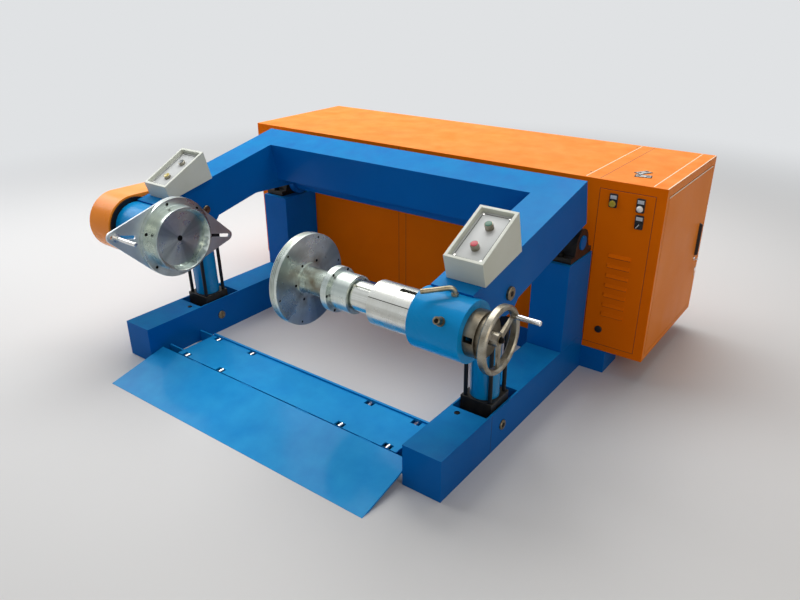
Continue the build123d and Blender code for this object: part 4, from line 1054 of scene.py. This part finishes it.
# Handwheel: its rim drawn in to the photographed size, with a black nut and brown washer on the hub
hubSet = {"washer": (17, 2), "nut": (18, 9), "face": 987, "rimFrom": 85, "rim": 0.91, "handle": 0.92}
handWheel = mergedCopy("handwheel", "handWheel")
drawIn(handWheel, lambda at, way: fromAxis(at) > mm(hubSet["rimFrom"]), hubSet["rim"])
dress(handWheel, "handwheel", castSteel, 1.2)
crankLow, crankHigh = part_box("crank_handle")
crankIn = Vector((0, (crankLow.y + crankHigh.y) / 2 - spindleY, (crankLow.z + crankHigh.z) / 2 - spindleZ))
crank = mergedCopy("crank_handle", "crankHandle")
roundEdges(crank, mm(0.8))
setDown(crank, Matrix.Translation(crankIn * (hubSet["handle"] - 1)))
finish(crank, "handwheel", chromeSteel, stands=["crank_handle"])
washer = disc("hubWasher", *mm(*hubSet["washer"]), mm(0.5), 32)
hubFace = facingX((mm(hubSet["face"]), spindleY, spindleZ))
finish(setDown(washer, hubFace), "handwheel", pinSteel)
finish(setDown(studNut("hubNut", *mm(*hubSet["nut"])), hubFace), "handwheel", blackOxide)
# a thin dark strip along the sleeve, painted as a line of shade at a step in its surface, and the key's black
# cover
shadeLineAndCoverSet = {"from": 521, "to": 701, "turn": 145.6, "radius": 80, "size": (2.6, 4), "proud": 0.15,
    "cover": (632, 700, 14, 3), "coverTurn": 101, "coverRadius": 68.6}
slit = block("slit", (mm(shadeLineAndCoverSet["to"] - shadeLineAndCoverSet["from"]), *mm(*shadeLineAndCoverSet["size"])), 0,
    (0, 0, -mm(shadeLineAndCoverSet["size"][1] / 2 - shadeLineAndCoverSet["proud"])))
setDown(slit, aroundAxis((shadeLineAndCoverSet["from"] + shadeLineAndCoverSet["to"]) / 2, shadeLineAndCoverSet["turn"], shadeLineAndCoverSet["radius"]))
finish(slit, "swing_frame", blackOxide).name = "sleeveSlit"
start, end, width, deep = shadeLineAndCoverSet["cover"]
cover = block("keyCover", (mm(end - start), mm(width), mm(deep)), mm(0.8), (0, 0, mm(deep / 2)))
setDown(cover, aroundAxis((start + end) / 2, shadeLineAndCoverSet["coverTurn"], shadeLineAndCoverSet["coverRadius"]))
finish(cover, "swing_frame", blackOxide)
lockLow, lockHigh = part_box("lock_screw")
lockFoot = Vector(((lockLow.x + lockHigh.x) / 2, spindleY, spindleZ))
lockWay = (lockLow + lockHigh) / 2 - lockFoot
# a dark disc painted as the shade inside the lock screw's socket
lockSet = {"socket": (7.5, 3), "out": 132.6}
lockSocketShade = disc("lockScrewSocket", *mm(*lockSet["socket"]), mm(0.5), 24)
setDown(lockSocketShade, stand(lockFoot + lockWay.normalized() * mm(lockSet["out"]), lockWay))
finish(lockSocketShade, "swing_frame", blackOxide)
print("turned parts fitted")


# Pins and bolts of the base and the frame, and a painted shade line at a seam of the base
liftLow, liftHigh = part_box("lift_pins")
baseLow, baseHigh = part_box("base_pins")
pillowLow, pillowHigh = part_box("pillow_blocks")
baseSet = {"liftHead": (10.5, 5), "liftSunk": 4, "baseHead": (10, 2.5), "baseSunk": 1.4, "bolt": (24, 13),
    "boltX": 812, "boltFoot": 24, "boltInset": 14, "beamTop": 170, "beamScrew": ((760, -947), (11, 1.5)),
    "beamDish": (2.6, 1.2), "seam": (-886, 2.4, 0.4)}
liftMiddle = (liftLow + liftHigh) / 2
lifted = socketHead("liftPinHead", *mm(*baseSet["liftHead"]), mm(0.8))
finish(setDown(lifted, facingX((liftHigh.x - mm(baseSet["liftSunk"]), liftMiddle.y, liftMiddle.z))),
    "swing_frame", blackOxide)
baseMiddle = (baseLow + baseHigh) / 2
baseSunk = mm(baseSet["baseSunk"])
centre = disc("pinCentre", *mm(*baseSet["baseHead"]), mm(0.6), 24)
ends = [facingX((x, baseMiddle.y, baseMiddle.z), way) for x, way in ((baseLow.x + baseSunk, -1),
    (baseHigh.x - baseSunk, 1))]
finish(placeCopies(centre, "basePinCentres", ends), "base", blackOxide)
bolt = studNut("pillowBolt", *mm(*baseSet["bolt"]))
inset = mm(baseSet["boltInset"])
spots = [Matrix.Translation((side * mm(baseSet["boltX"]), y, pillowLow.z + mm(baseSet["boltFoot"])))
    for side in (-1, 1) for y in (pillowLow.y + inset, pillowHigh.y - inset)]
finish(placeCopies(bolt, "pillowBolts", spots), "base", blackOxide)
(x, y), (radius, height) = baseSet["beamScrew"]
beamScrew = disc("beamScrew", mm(radius), mm(height), mm(0.5), 32)
dishTop(beamScrew, *mm(*baseSet["beamDish"]))
finish(placeCopies(smooth(beamScrew), "beamScrews",
    [shift(side * x, y, baseSet["beamTop"]) for side in (-1, 1)]), "base", blackOxide)
beamLow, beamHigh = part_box("right_side_beam")
# dark strip painted as the shade at the seam on the right beam's side
y, width, proud = mm(*baseSet["seam"])
finish(flushStrip("beamSeam", (beamHigh.x - mm(1), y - width / 2, beamLow.z + mm(4)),
    (beamHigh.x + proud, y + width / 2, beamHigh.z - mm(3))), "base", seamShadeBlue)
print("base fitted")
